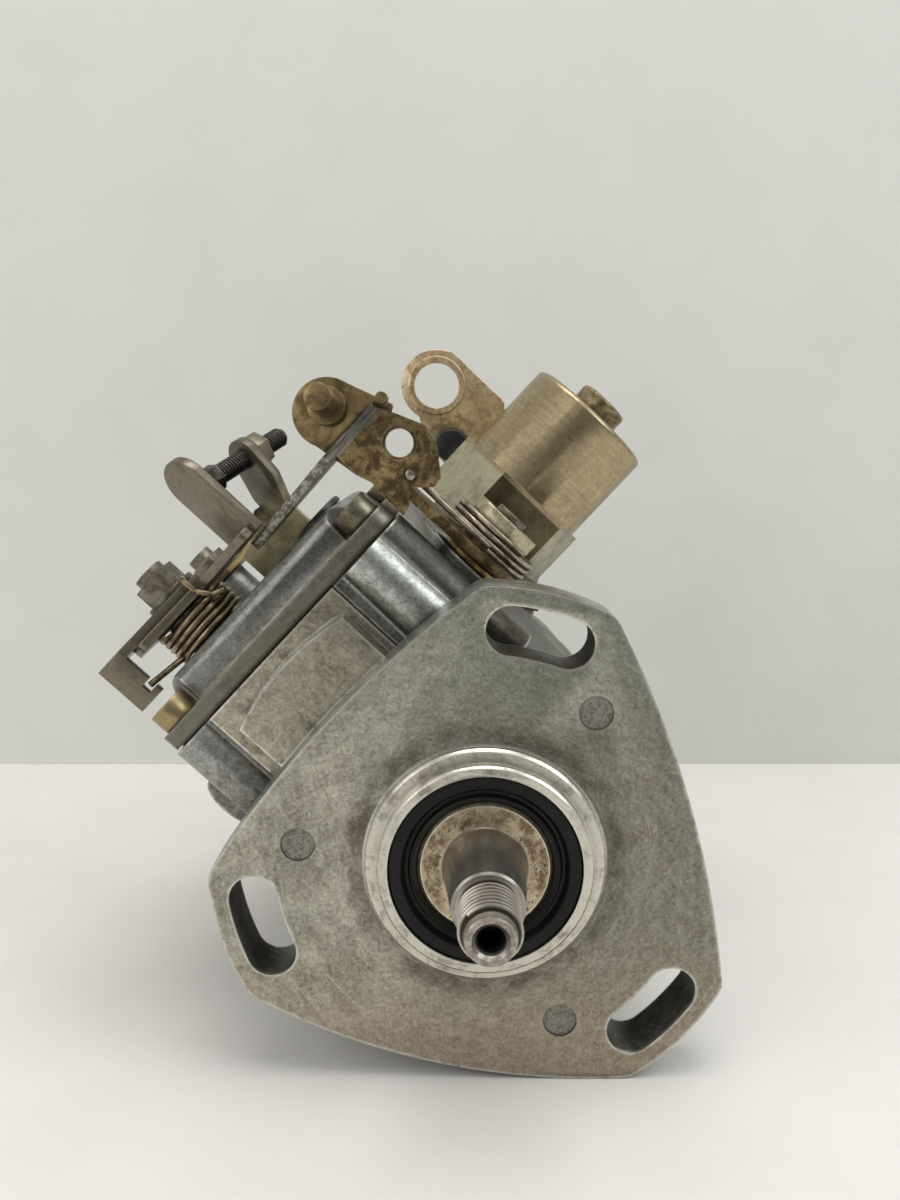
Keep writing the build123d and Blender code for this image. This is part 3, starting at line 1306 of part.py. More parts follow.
coil_low = dome_top + COIL_WIRE + CLEAR
coil_height = lever_base - COIL_WIRE - coil_low
with BuildPart() as throttle_spring:
    coil(at(SPINDLE_SIDE, SPINDLE_AFT, coil_low), UP, COIL_RADIUS, COIL_WIRE, 1.85, coil_height)
    rod(at(-23.2, 43.3, coil_low + 0.4), at(-32.6, 38.2, NOTCH_UP), COIL_WIRE)
throttle_spring.part.label = "throttle_spring"
export_step(throttle_spring.part, "parts/throttle_spring.step")

# ================================================================ stop lever
stop_spot = (STOP_SIDE, STOP_AFT)
with BuildPart() as stop_spindle:
    disc(level(SPINDLE_LOW), stop_spot, STOP_RADIUS, 93 - SPINDLE_LOW)
    hexagon(level(lever_base + LEVER_SHEET), stop_spot, NUT_FLATS, 5)
stop_spindle.part.label = "stop_spindle"
export_step(stop_spindle.part, "parts/stop_spindle.step")

with BuildPart() as stop_lever:
    plate(
        level(lever_base),
        [
            (STOP_SIDE + side, STOP_AFT + aft)
            for side, aft in ((-7, -4), (-7, 4), (0, 8), (18, 14), (23, 11), (22, 6.5), (4, -6.5), (-2, -7.5))
        ],
        LEVER_SHEET,
        corner=2,
    )
    disc(level(lever_base), stop_spot, STOP_RADIUS + SNUG, LEVER_SHEET, mode=Mode.SUBTRACT)
    disc(level(lever_base), (STOP_SIDE + 18.5, STOP_AFT + 10), 2, LEVER_SHEET, mode=Mode.SUBTRACT)
stop_lever.part.label = "stop_lever"
export_step(stop_lever.part, "parts/stop_lever.step")

# ================================================================ fast-idle lever
BUSH_FLANGE = 1.8
BUSH_FLANGE_RADIUS = 8.0
IDLE_SHEET = 2.2
P1_AFT = 24.0
P2_AFT = 26.0
BAR_LOW = 80.0
IDLE_HUB = 5.4
IDLE_NUT_FLATS = 15.5
IDLE_NUT = 3.8
STUD_ROOT = at(45.1, 30.0, 87.9)
STUD_SHOULDER = at(45.5, 23.0, 89.0)
STUD_TIP = at(46.2, 13.0, 90.6)
idle_spot = (IDLE_AFT, IDLE_UP)
idle_plate = IDLE_BOSS_END + BUSH_FLANGE + CLEAR
hub_end = idle_plate + LEVER_SHEET + IDLE_HUB
with BuildPart() as fast_idle_bush:
    disc(beside(IDLE_BOSS_END), idle_spot, BUSH_FLANGE_RADIUS, BUSH_FLANGE)
    disc(beside(IDLE_BOSS_END), idle_spot, IDLE_SHAFT_RADIUS + RUN, BUSH_FLANGE, mode=Mode.SUBTRACT)
fast_idle_bush.part.label = "fast_idle_bush"
export_step(fast_idle_bush.part, "parts/fast_idle_bush.step")

with BuildPart() as fast_idle_lever:
    disc(beside(idle_plate), idle_spot, 10.5, LEVER_SHEET)
    disc(beside(idle_plate), idle_spot, 6.5, LEVER_SHEET + IDLE_HUB)
    plate(
        beside(idle_plate),
        [(P1_AFT, 60.5), (P1_AFT, 66), (36, 66), (50, 43), (44, 32), (30, 38)],
        LEVER_SHEET,
        corner=1,
    )
    plate(
        across(P1_AFT + PUSH_SHEET),
        [
            (38.8, BAR_LOW + IDLE_SHEET),
            (51.9, BAR_LOW + IDLE_SHEET),
            (54.4, 77),
            (57, 70.5),
            (55.6, 65.7),
            (51, 60.2),
            (48.4, 60),
            (45, 63.5),
            (41.5, 61),
            (39.4, 60.5),
            (39.4, 68.4),
            (39.9, 70.5),
            (39, 73.3),
        ],
        PUSH_SHEET,
        corner=0.4,
    )
    disc(across(P1_AFT + PUSH_SHEET), (50.3, 72), 3.9, PUSH_SHEET + 0.6)
    plate(
        level(BAR_LOW),
        [(52.5, P1_AFT), (52.5, 31), (13, 47), (8, 46.5), (8, 43), (36.8, P1_AFT)],
        IDLE_SHEET,
        corner=0.8,
    )
    disc(beside(idle_plate), idle_spot, IDLE_SHAFT_RADIUS + SNUG, LEVER_SHEET + IDLE_HUB, mode=Mode.SUBTRACT)
    disc(across(P1_AFT + 3), (50.3, 72), 3.1, 5, mode=Mode.SUBTRACT)
    disc(across(P1_AFT + 3), (46.9, 65.5), 1.2, 5, mode=Mode.SUBTRACT)
fast_idle_lever.part.label = "fast_idle_lever"
export_step(fast_idle_lever.part, "parts/fast_idle_lever.step")

with BuildPart() as cable_arm:
    plate(
        across(P2_AFT + PUSH_SHEET),
        [(36.7, 89), (51, 92), (55.5, 78.6), (50, 76), (38.7, 73.4)],
        PUSH_SHEET,
        corner=0.8,
    )
    disc(across(P2_AFT + PUSH_SHEET), (44.3, 88), 7.7, PUSH_SHEET)
    rod(STUD_ROOT, STUD_SHOULDER, 4.2)
    rod(STUD_SHOULDER, STUD_TIP, 2.9)
    disc(across(29), (54.8, 81.4), 1.3, 7)
    block(
        level(BAR_LOW - RUN),
        (30, P2_AFT - 1),
        (52.5 + RUN, P2_AFT + 3),
        IDLE_SHEET + 2 * RUN,
        mode=Mode.SUBTRACT,
    )
cable_arm.part.label = "cable_arm"
export_step(cable_arm.part, "parts/cable_arm.step")

IDLE_SHAFT_ROOT = 28.0
IDLE_SHAFT_PROUD = 1.6
idle_shaft_length = hub_end + IDLE_NUT + IDLE_SHAFT_PROUD - IDLE_SHAFT_ROOT
with BuildPart() as fast_idle_shaft:
    disc(beside(IDLE_SHAFT_ROOT), idle_spot, IDLE_SHAFT_RADIUS, idle_shaft_length)
fast_idle_shaft.part.label = "fast_idle_shaft"
export_step(fast_idle_shaft.part, "parts/fast_idle_shaft.step")

with BuildPart() as fast_idle_nut:
    hexagon(beside(hub_end), idle_spot, IDLE_NUT_FLATS, IDLE_NUT, turned=10)
    disc(beside(hub_end), idle_spot, IDLE_SHAFT_RADIUS + SNUG, IDLE_NUT, mode=Mode.SUBTRACT)
fast_idle_nut.part.label = "fast_idle_nut"
export_step(fast_idle_nut.part, "parts/fast_idle_nut.step")

IDLE_COIL = 11.2
IDLE_WIRE = 0.7
HOOK_UP = 65.5
idle_coil_side = idle_plate + LEVER_SHEET + 1
leg_side = idle_coil_side + 0.9
leg_aft = IDLE_AFT - IDLE_COIL
with BuildPart() as fast_idle_spring:
    coil(at(idle_coil_side, IDLE_AFT, IDLE_UP), SIDE, IDLE_COIL, IDLE_WIRE, 1.5, 4.5)
    rod(at(leg_side, leg_aft, IDLE_UP), at(leg_side, leg_aft, HOOK_UP), IDLE_WIRE)
    rod(at(leg_side, leg_aft + 0.4, HOOK_UP), at(leg_side, P1_AFT - 1, HOOK_UP), IDLE_WIRE)
fast_idle_spring.part.label = "fast_idle_spring"
export_step(fast_idle_spring.part, "parts/fast_idle_spring.step")
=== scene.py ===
"""Dresses a distributor injection pump with castings, plated sheet, springs, threads and a bench to lie on."""

import json
import math

import bpy
from bpy.props import FloatProperty, FloatVectorProperty, IntProperty, PointerProperty
from mathutils import Matrix, Vector


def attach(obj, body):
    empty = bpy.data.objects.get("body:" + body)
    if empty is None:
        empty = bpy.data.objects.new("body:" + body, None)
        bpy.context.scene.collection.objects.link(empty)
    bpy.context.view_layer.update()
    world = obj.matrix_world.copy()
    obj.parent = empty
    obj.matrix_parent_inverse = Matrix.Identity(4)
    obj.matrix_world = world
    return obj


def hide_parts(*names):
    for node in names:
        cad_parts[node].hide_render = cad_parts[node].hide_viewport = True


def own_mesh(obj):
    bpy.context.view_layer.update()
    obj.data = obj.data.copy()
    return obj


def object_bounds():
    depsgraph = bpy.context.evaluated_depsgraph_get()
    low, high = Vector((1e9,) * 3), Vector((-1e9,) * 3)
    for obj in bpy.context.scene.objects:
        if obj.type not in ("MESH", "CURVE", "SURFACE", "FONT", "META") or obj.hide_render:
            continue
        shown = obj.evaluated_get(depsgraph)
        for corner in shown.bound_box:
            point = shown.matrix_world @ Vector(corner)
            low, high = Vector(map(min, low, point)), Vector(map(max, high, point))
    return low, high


bl_info = {
    "name": "Injection pump dressing",
    "version": (1, 0, 0),
    "blender": (4, 5, 0),
    "location": "View3D > Sidebar > Pump",
    "description": "Castings, levers, springs and threads for a distributor injection pump",
    "category": "Object",
}

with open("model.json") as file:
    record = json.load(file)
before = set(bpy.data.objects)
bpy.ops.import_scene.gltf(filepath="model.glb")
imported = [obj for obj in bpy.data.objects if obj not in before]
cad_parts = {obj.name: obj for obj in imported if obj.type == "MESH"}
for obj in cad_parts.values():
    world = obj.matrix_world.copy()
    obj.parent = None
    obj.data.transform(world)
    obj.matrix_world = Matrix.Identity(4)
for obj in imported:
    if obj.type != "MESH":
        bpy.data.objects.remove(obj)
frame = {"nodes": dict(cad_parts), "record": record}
CAD_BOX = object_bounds()

MM = 0.001
ROLL = math.radians(46.9)
SIDE = Vector((math.cos(ROLL), 0, math.sin(ROLL)))
AFT = Vector((0, 1, 0))
UP = Vector((-math.sin(ROLL), 0, math.cos(ROLL)))
ORIGIN = Vector((0, 0, 0))

# where finishes begin and end, in millimetres along the pump's directions or from its shaft
FLANGE_BACK = 13.0
SLOT_ANGLES = (30, 150, 270)
SLOT_SPAN = (42.4, 55.6)
SLOT_HALF = 13.0
MARK_ANGLES = (7.6, 127.6, 247.6)
MARK_CIRCLE = 39.0
MARK_RADIUS = 3.4
RING_RADIUS = 25.2
ARC_RADIUS = 35.0
BLOCK_SPAN = (-22.7, 18.6)
COLUMN_SPAN = (20.8, 33.8)
RECESS_SPAN = (34.0, 41.0)
SEAM_SPAN = (61.4, 62.6)
PLATE_SPAN = (61.0, 66.5)
PULL_BAR_SPAN = (79.8, 82.5)
HEXAGON_END = 60.5
COLLAR_RADIUS = 13.0
THREAD_END = -22.7

# edges that are rounded and faces that are shaded or merged as one, by the angle between them
SHARP = math.radians(32)
SMOOTH = math.radians(38)
SMOOTH_TURNED = math.radians(30)
SMOOTH_WOUND = math.radians(50)
FLAT = math.radians(0.6)

# coils as radius, pitch and turns; threads as core and crest radius; all in millimetres
THROTTLE_COIL = (9.85, 1.72, 4.1)
IDLE_COIL = (11.2, 1.5, 3.1)
ADVANCE_COIL = (5.0, 4.0, 3.4)
NOSE_THREAD = (5.15, 6.0)
NOSE_TURNS = 6.3
STOP_THREAD = (2.1, 2.5)
STOP_TURNS = 31
STOP_LENGTH = 27
STOP_DIRECTION = (SIDE * 0.70 + AFT * 0.70 - UP * 0.14).normalized()

# the room: places in metres, angles in degrees, the lens in millimetres
WALL_DISTANCE = 0.225
ROOM_WIDTH = 3.0
WALL_HEIGHT = 1.5
FRONT_AND_BELOW = (0, -0.94, -0.34)
CAMERA_PLACE = (-0.00739, -0.21758, 0.08872)
CAMERA_TILT = 8.785
CAMERA_TURN = -0.051
CAMERA_LENS = 33.0
CAMERA_SENSOR = 36.0


def at(side, aft, up):
    """Place in metres, from millimetres along the pump's side, aft and up directions."""
    return (SIDE * side + AFT * aft + UP * up) * MM


def tone(label, colour):
    """Colour property with its default."""
    return FloatVectorProperty(
        name=label, description=f"Colour of {label.lower()}", subtype="COLOR", size=3, min=0, max=1, default=colour
    )


def length(label, value):
    """Size property in metres from a default in millimetres."""
    return FloatProperty(
        name=label, description=f"{label} of the pump", subtype="DISTANCE", unit="LENGTH", min=0, default=value * MM
    )


class PumpSizes(bpy.types.PropertyGroup):
    """Sizes that shape the pump's dressing."""

    cast_round: length("Cast edge rounding", 0.7)
    sheet_round: length("Sheet edge rounding", 0.35)
    nose_pitch: length("Shaft thread pitch", 1.5)
    stop_pitch: length("Stop screw thread pitch", 0.8)
    throttle_wire: length("Throttle spring wire radius", 0.82)
    idle_wire: length("Fast idle spring wire radius", 0.7)
    advance_wire: length("Advance spring wire radius", 0.8)
    turn_steps: IntProperty(
        name="Turning steps", description="Steps round a turned piece", min=24, max=256, default=96
    )


class PumpColours(bpy.types.PropertyGroup):
    """Colours of the pump's metals and plastics."""

    flange: tone("Flange face, light side", (0.44, 0.42, 0.355))
    flange_dark: tone("Flange face, dark side", (0.235, 0.225, 0.185))
    flange_warm: tone("Flange face, lower side", (0.37, 0.295, 0.215))
    flange_cool: tone("Flange face, upper side", (0.34, 0.365, 0.295))
    flange_brown: tone("Flange soiling", (0.115, 0.092, 0.062))
    machined: tone("Machined ring", (0.62, 0.59, 0.51))
    ring_foot: tone("Foot of the machined ring", (0.12, 0.10, 0.075))
    housing: tone("Housing casting", (0.30, 0.305, 0.29))
    # soil and painted shade on the barrel behind the flange
    barrel_soil_and_shade: tone("Barrel soiling and painted shade", (0.095, 0.085, 0.066))
    # lighter colour of the column, partly a painted highlight
    column: tone("Front column", (0.44, 0.46, 0.44))
    # painted shadow in the recess beside the column
    recess: tone("Recess beside the column", (0.048, 0.049, 0.044))
    block: tone("Front block", (0.35, 0.32, 0.245))
    cover: tone("Cover casting", (0.185, 0.187, 0.178))
    seam: tone("Cover seam", (0.05, 0.036, 0.02))
    plate: tone("Cover plate", (0.175, 0.16, 0.118))
    rust: tone("Rusty soiling", (0.17, 0.105, 0.065))
    mark: tone("Ejector marks", (0.27, 0.26, 0.225))
    oil: tone("Oil film", (0.085, 0.068, 0.044))
    lever: tone("Lever steel", (0.195, 0.17, 0.127))
    old_zinc: tone("Old zinc plate", (0.27, 0.20, 0.098))
    khaki: tone("Khaki zinc plate", (0.44, 0.385, 0.24))
    pale_zinc: tone("Pale zinc plate", (0.55, 0.53, 0.43))
    can: tone("Solenoid can", (0.37, 0.30, 0.188))
    shaft: tone("Shaft steel", (0.42, 0.38, 0.32))
    collar: tone("Shaft collar", (0.50, 0.42, 0.30))
    taper: tone("Shaft taper", (0.30, 0.285, 0.265))
    rubber: tone("Seal rubber", (0.007, 0.007, 0.0072))
    floor: tone("Bench", (0.795, 0.775, 0.755))
    wall: tone("Wall", (0.725, 0.735, 0.705))


def sizes():
    """Sizes set for this scene."""
    return bpy.context.scene.pump_sizes


def colours():
    """Colours set for this scene."""
    return bpy.context.scene.pump_colours


# ---------------------------------------------------------------- materials
class Finish:
    """Material built up in layers over a place-dependent base."""

    def __init__(self, name, base, metallic=1.0, rough=0.35):
        self.material = bpy.data.materials.new(name)
        self.material.use_nodes = True
        self.tree = self.material.node_tree
        self.shader = self.tree.nodes["Principled BSDF"]
        self.where = self.node("TexCoord").outputs["Object"]
        self.colour, self.rough, self.metallic = base, rough, metallic
        self.height = 0.0

    def node(self, kind, **settings):
        """New node with its settings."""
        node = self.tree.nodes.new("ShaderNode" + kind)
        for name, value in settings.items():
            setattr(node, name, value)
        return node

    def put(self, value, socket):
        """Links a socket or sets a number, colour or direction on it."""
        if isinstance(value, bpy.types.NodeSocket):
            self.tree.links.new(value, socket)
        elif isinstance(value, (int, float)):
            socket.default_value = value
        else:
            socket.default_value = (*value, 1) if len(socket.default_value) == 4 else tuple(value)

    def sums(self, operation, first, second=0.0):
        """Arithmetic on sockets and numbers."""
        node = self.node("Math", operation=operation)
        self.put(first, node.inputs[0])
        self.put(second, node.inputs[1])
        return node.outputs["Value"]

    def times(self, first, *others):
        """Product of sockets and numbers."""
        for other in others:
            first = self.sums("MULTIPLY", first, other)
        return first

    def vector(self, operation, first, second, out="Vector"):
        """Arithmetic on places and directions."""
        node = self.node("VectorMath", operation=operation)
        self.put(first, node.inputs[0])
        self.put(second, node.inputs[1])
        return node.outputs[out]

    def along(self, direction):
        """Millimetres along a direction."""
        return self.vector("DOT_PRODUCT", self.where, tuple(direction * (1 / MM)), "Value")

    def away(self, centre, direction):
        """Millimetres from the line through a place along a direction."""
        offset = self.vector("SUBTRACT", self.where, tuple(centre))
        offset = self.vector("CROSS_PRODUCT", offset, tuple(direction.normalized()))
        return self.times(self.vector("LENGTH", offset, (0, 0, 0), "Value"), 1 / MM)

    def ramp(self, value, low, high, start=0.0, end=1.0):
        """Smooth step of a value."""
        node = self.node("MapRange", interpolation_type="SMOOTHSTEP")
        self.put(value, node.inputs["Value"])
        for socket, number in (("From Min", low), ("From Max", high), ("To Min", start), ("To Max", end)):
            node.inputs[socket].default_value = number
        return node.outputs["Result"]

    def band(self, value, low, high, soft=0.15):
        """1 between two values."""
        rise = self.ramp(value, low - soft, low + soft)
        fall = self.ramp(value, high - soft, high + soft, 1.0, 0.0)
        return self.times(rise, fall)

    def texture(self, place, scale, detail, rough=0.5, distortion=0.0):
        """Noise at a place."""
        node = self.node("TexNoise")
        for socket, number in (("Scale", scale), ("Detail", detail), ("Roughness", rough), ("Distortion", distortion)):
            node.inputs[socket].default_value = number
        self.put(place, node.inputs["Vector"])
        return node.outputs["Fac"]

    def noise(self, size, detail=5, rough=0.6, stretch=None, along=None, distortion=0.0):
        """Noise with features of a size in millimetres, stretched along a direction or about it."""
        place = self.where
        if stretch:
            turn = self.node("Mapping", vector_type="TEXTURE")
            turn.inputs["Rotation"].default_value = along.to_track_quat("Z", "X").to_euler()
            turn.inputs["Scale"].default_value = stretch
            self.put(place, turn.inputs["Vector"])
            place = turn.outputs["Vector"]
        return self.texture(place, 1 / (size * MM), detail, rough, distortion)

    def rounds(self, across, along):
        """Noise drawn out in arcs about the shaft, with its size across and along them in millimetres."""
        angle = self.sums("ARCTAN2", self.along(UP), self.along(SIDE))
        place = self.node("CombineXYZ")
        self.put(self.sums("DIVIDE", self.away(ORIGIN, AFT), across), place.inputs["X"])
        self.put(self.times(self.sums("ABSOLUTE", angle), ARC_RADIUS / along), place.inputs["Y"])
        return self.texture(place.outputs["Vector"], 1.0, 3)

    def mix(self, amount, first, second):
        """Blend of two colours or numbers."""
        number = not isinstance(second, (tuple, bpy.types.NodeSocketColor))
        node = self.node("Mix", data_type="FLOAT" if number else "RGBA")
        first_socket, second_socket, out = (2, 3, 0) if number else (6, 7, 2)
        self.put(amount, node.inputs[0])
        self.put(first, node.inputs[first_socket])
        self.put(second, node.inputs[second_socket])
        return node.outputs[out]

    def layer(self, amount, colour=None, rough=None, metallic=None):
        """Covers what is below with another look."""
        if colour is not None:
            self.colour = self.mix(amount, self.colour, tuple(colour))
        if rough is not None:
            self.rough = self.mix(amount, self.rough, rough)
        if metallic is not None:
            self.metallic = self.mix(amount, self.metallic, metallic)

    def tint(self, value, depth):
        """Darkens and lightens by a value about one half."""
        node = self.node("VectorMath", operation="SCALE")
        self.put(self.colour, node.inputs[0])
        self.put(self.ramp(value, 0.25, 0.75, 1 - depth, 1 + depth), node.inputs["Scale"])
        self.colour = node.outputs["Vector"]

    def raise_by(self, value, depth):
        """Adds to the relief, in millimetres."""
        self.height = self.sums("ADD", self.height, self.times(value, depth))

    def corners(self, radius, low=0.97, high=0.8):
        """1 on worn corners and 0 on flats."""
        rounded = self.node("Bevel", samples=6)
        rounded.inputs["Radius"].default_value = radius * MM
        surface = self.node("NewGeometry").outputs["Normal"]
        return self.ramp(self.vector("DOT_PRODUCT", rounded.outputs["Normal"], surface, "Value"), low, high)

    def facing(self, direction, low=0.85, high=0.95):
        """1 where the surface faces a direction."""
        surface = self.node("NewGeometry").outputs["Normal"]
        return self.ramp(self.vector("DOT_PRODUCT", surface, tuple(direction.normalized()), "Value"), low, high)

    def dirt_and_shade_creases(self, reach=3.0, low=0.45, high=0.85):
        """1 in corners that ambient occlusion finds, for oil there and for painted shade."""
        shade = self.node("AmbientOcclusion", samples=6)
        shade.inputs["Distance"].default_value = reach * MM
        return self.ramp(shade.outputs["AO"], low, high, 1.0, 0.0)

    def done(self):
        """Wires the layers to the shader."""
        bump = self.node("Bump")
        bump.inputs["Strength"].default_value = 0.7
        bump.inputs["Distance"].default_value = MM
        self.put(self.height, bump.inputs["Height"])
        for value, socket in (
            (self.colour, "Base Color"), (self.rough, "Roughness"), (self.metallic, "Metallic"),
            (bump.outputs["Normal"], "Normal"),
        ):
            self.put(value, self.shader.inputs[socket])
        return self.material


FINISHES = {}
BRIGHT = (0.66, 0.65, 0.61)
OIL = (0.030, 0.025, 0.018)
# mottled soil with painted shade, for behind the flange
SOIL_AND_SHADE = (0.045, 0.039, 0.028)


def faded(colour, share):
    """Darker version of a colour."""
    return tuple(part * share for part in colour)


def polar(angle):
    """Direction about the shaft, in degrees from the pump's side towards up."""
    turn = math.radians(angle)
    return SIDE * math.cos(turn) + UP * math.sin(turn)


def cast(name, base, soil, grain=0.012, soil_at=(0.46, 0.68), worn=0.8, dark=0.55, metallic=0.75, rough=0.42):
    """Sand-cast aluminium with a speckled skin, oil and painted shade in its corners, and rubbed edges."""
    f = Finish(name, base, metallic, rough)
    fine = f.noise(0.7, 6, 0.85)
    middle = f.noise(2.4, 7, 0.8)
    broad = f.noise(14, 8, 0.75, distortion=0.6)
    f.layer(f.ramp(broad, *soil_at, 0.0, dark), soil, 0.46)
    f.layer(f.ramp(f.noise(0.8, 5, 0.75), 0.60, 0.70, 0.0, 0.65), OIL, 0.6)
    f.tint(fine, 0.42)
    f.tint(middle, 0.34)
    f.raise_by(fine, grain)
    f.raise_by(middle, grain * 2.5)
    # painted shade: the base colour darkened in deep corners found by ambient occlusion
    f.layer(f.times(f.dirt_and_shade_creases(8.0, 0.2, 0.7), 0.6), faded(base, 0.35), 0.5)
    # oil in tight corners, darkened further as painted shade
    f.layer(f.dirt_and_shade_creases(), faded(soil, 0.5), 0.55)
    rubbed = f.times(f.corners(1.5, 0.992, 0.93), f.ramp(middle, 0.38, 0.54, 0.1, worn))
    f.layer(rubbed, BRIGHT, 0.28, 0.95)
    return f


def cover_finish():
    """The cover: metallic dome over a browner plate with a dark seam."""
    c = colours()
    f = cast("cast_cover", tuple(c.cover), tuple(c.oil), 0.018, (0.46, 0.64), 0.5, 0.6, 0.9, 0.3)
    up = f.along(UP)
    brown = f.ramp(f.noise(11, 7, 0.75), 0.35, 0.6, 0.25, 0.8)
    f.layer(f.times(f.band(up, *PLATE_SPAN, 0.4), brown), tuple(c.plate), 0.42)
    f.layer(f.times(f.band(up, *SEAM_SPAN, 0.35), 0.7), tuple(c.seam), 0.5)
    return f.done()


def paint_box(f, broad, middle, aft, side, up):
    """Front block, column with a partly painted highlight, painted shadow in the recess, and the soiled parts behind
    the flange, with painted shade there.
    """
    c = colours()
    block = f.times(f.band(aft, 8.0, 19.2), f.band(side, *BLOCK_SPAN), f.ramp(up, 27, 29))
    f.layer(f.times(block, 0.9), tuple(c.block), 0.33)
    f.layer(f.ramp(broad, 0.47, 0.62, 0.0, 0.7), tuple(c.oil), 0.46)
    # low down behind the flange: mottled soil with painted shade where the flange shades the barrel
    low = f.times(f.ramp(aft, FLANGE_BACK - 0.4, FLANGE_BACK + 0.2), f.ramp(up, 31.0, 36.0, 1.0, 0.0))
    f.layer(f.times(low, f.ramp(broad, 0.3, 0.6, 0.35, 0.85)), tuple(c.barrel_soil_and_shade), 0.44)
    # painted shade: the housing colour darkened in deep corners, such as between the column and the bosses
    f.layer(f.times(f.dirt_and_shade_creases(9.0, 0.2, 0.65), 0.8), faded(c.housing, 0.25), 0.45)
    # the column: glossier, brighter metal; its lighter colour is partly a painted highlight
    column = f.times(f.band(side, *COLUMN_SPAN, 0.3), f.band(aft, 14.0, 22.5, 0.4), f.ramp(up, 36, 38))
    f.layer(f.times(column, f.ramp(broad, 0.6, 0.4, 0.45, 0.9)), tuple(c.column), 0.34, 0.92)
    # painted shadow: the recess beside the column, towards the fast-idle boss, is painted near black
    recess = f.times(f.band(side, *RECESS_SPAN, 0.5), f.band(aft, 13.6, 33.0), f.ramp(up, 33, 36))
    f.layer(f.times(recess, 0.8), tuple(c.recess), 0.4)
    # behind the flange where it shows through the upper slot: mottled soil with painted shade
    behind_slot = f.times(f.band(side, 28.0, 60.0, 2.0), f.ramp(aft, 12.8, 13.2), f.band(up, 8.0, 40.0, 3.0))
    f.layer(f.times(behind_slot, f.ramp(middle, 0.35, 0.6, 0.9, 0.6)), SOIL_AND_SHADE, 0.42)


def flange_skin(f, broad):
    """Colour of the flange face: lighter on the left, warm below, cool on top, with brown and rusty patches."""
    c = colours()
    shade = f.ramp(f.along(Vector((1, 0, -0.15))), -30, 45, 0.0, 0.85)
    skin = f.mix(shade, tuple(c.flange), tuple(c.flange_dark))
    for amount, colour in (
        (f.ramp(broad, 0.4, 0.6, 0.0, 0.7), c.flange_dark),
        (f.ramp(f.noise(4.5, 8, 0.8), 0.46, 0.66, 0.0, 0.55), c.flange_brown),
        (f.ramp(f.noise(10, 8, 0.8), 0.54, 0.7, 0.0, 0.7), c.rust),
        (f.ramp(f.along(Vector((0, 0, -1))), 12, 45, 0.0, 0.62), c.flange_warm),
        (f.ramp(f.along(Vector((0, 0, 1))), 18, 42, 0.0, 0.5), c.flange_cool),
    ):
        skin = f.mix(amount, skin, tuple(colour))
    return skin


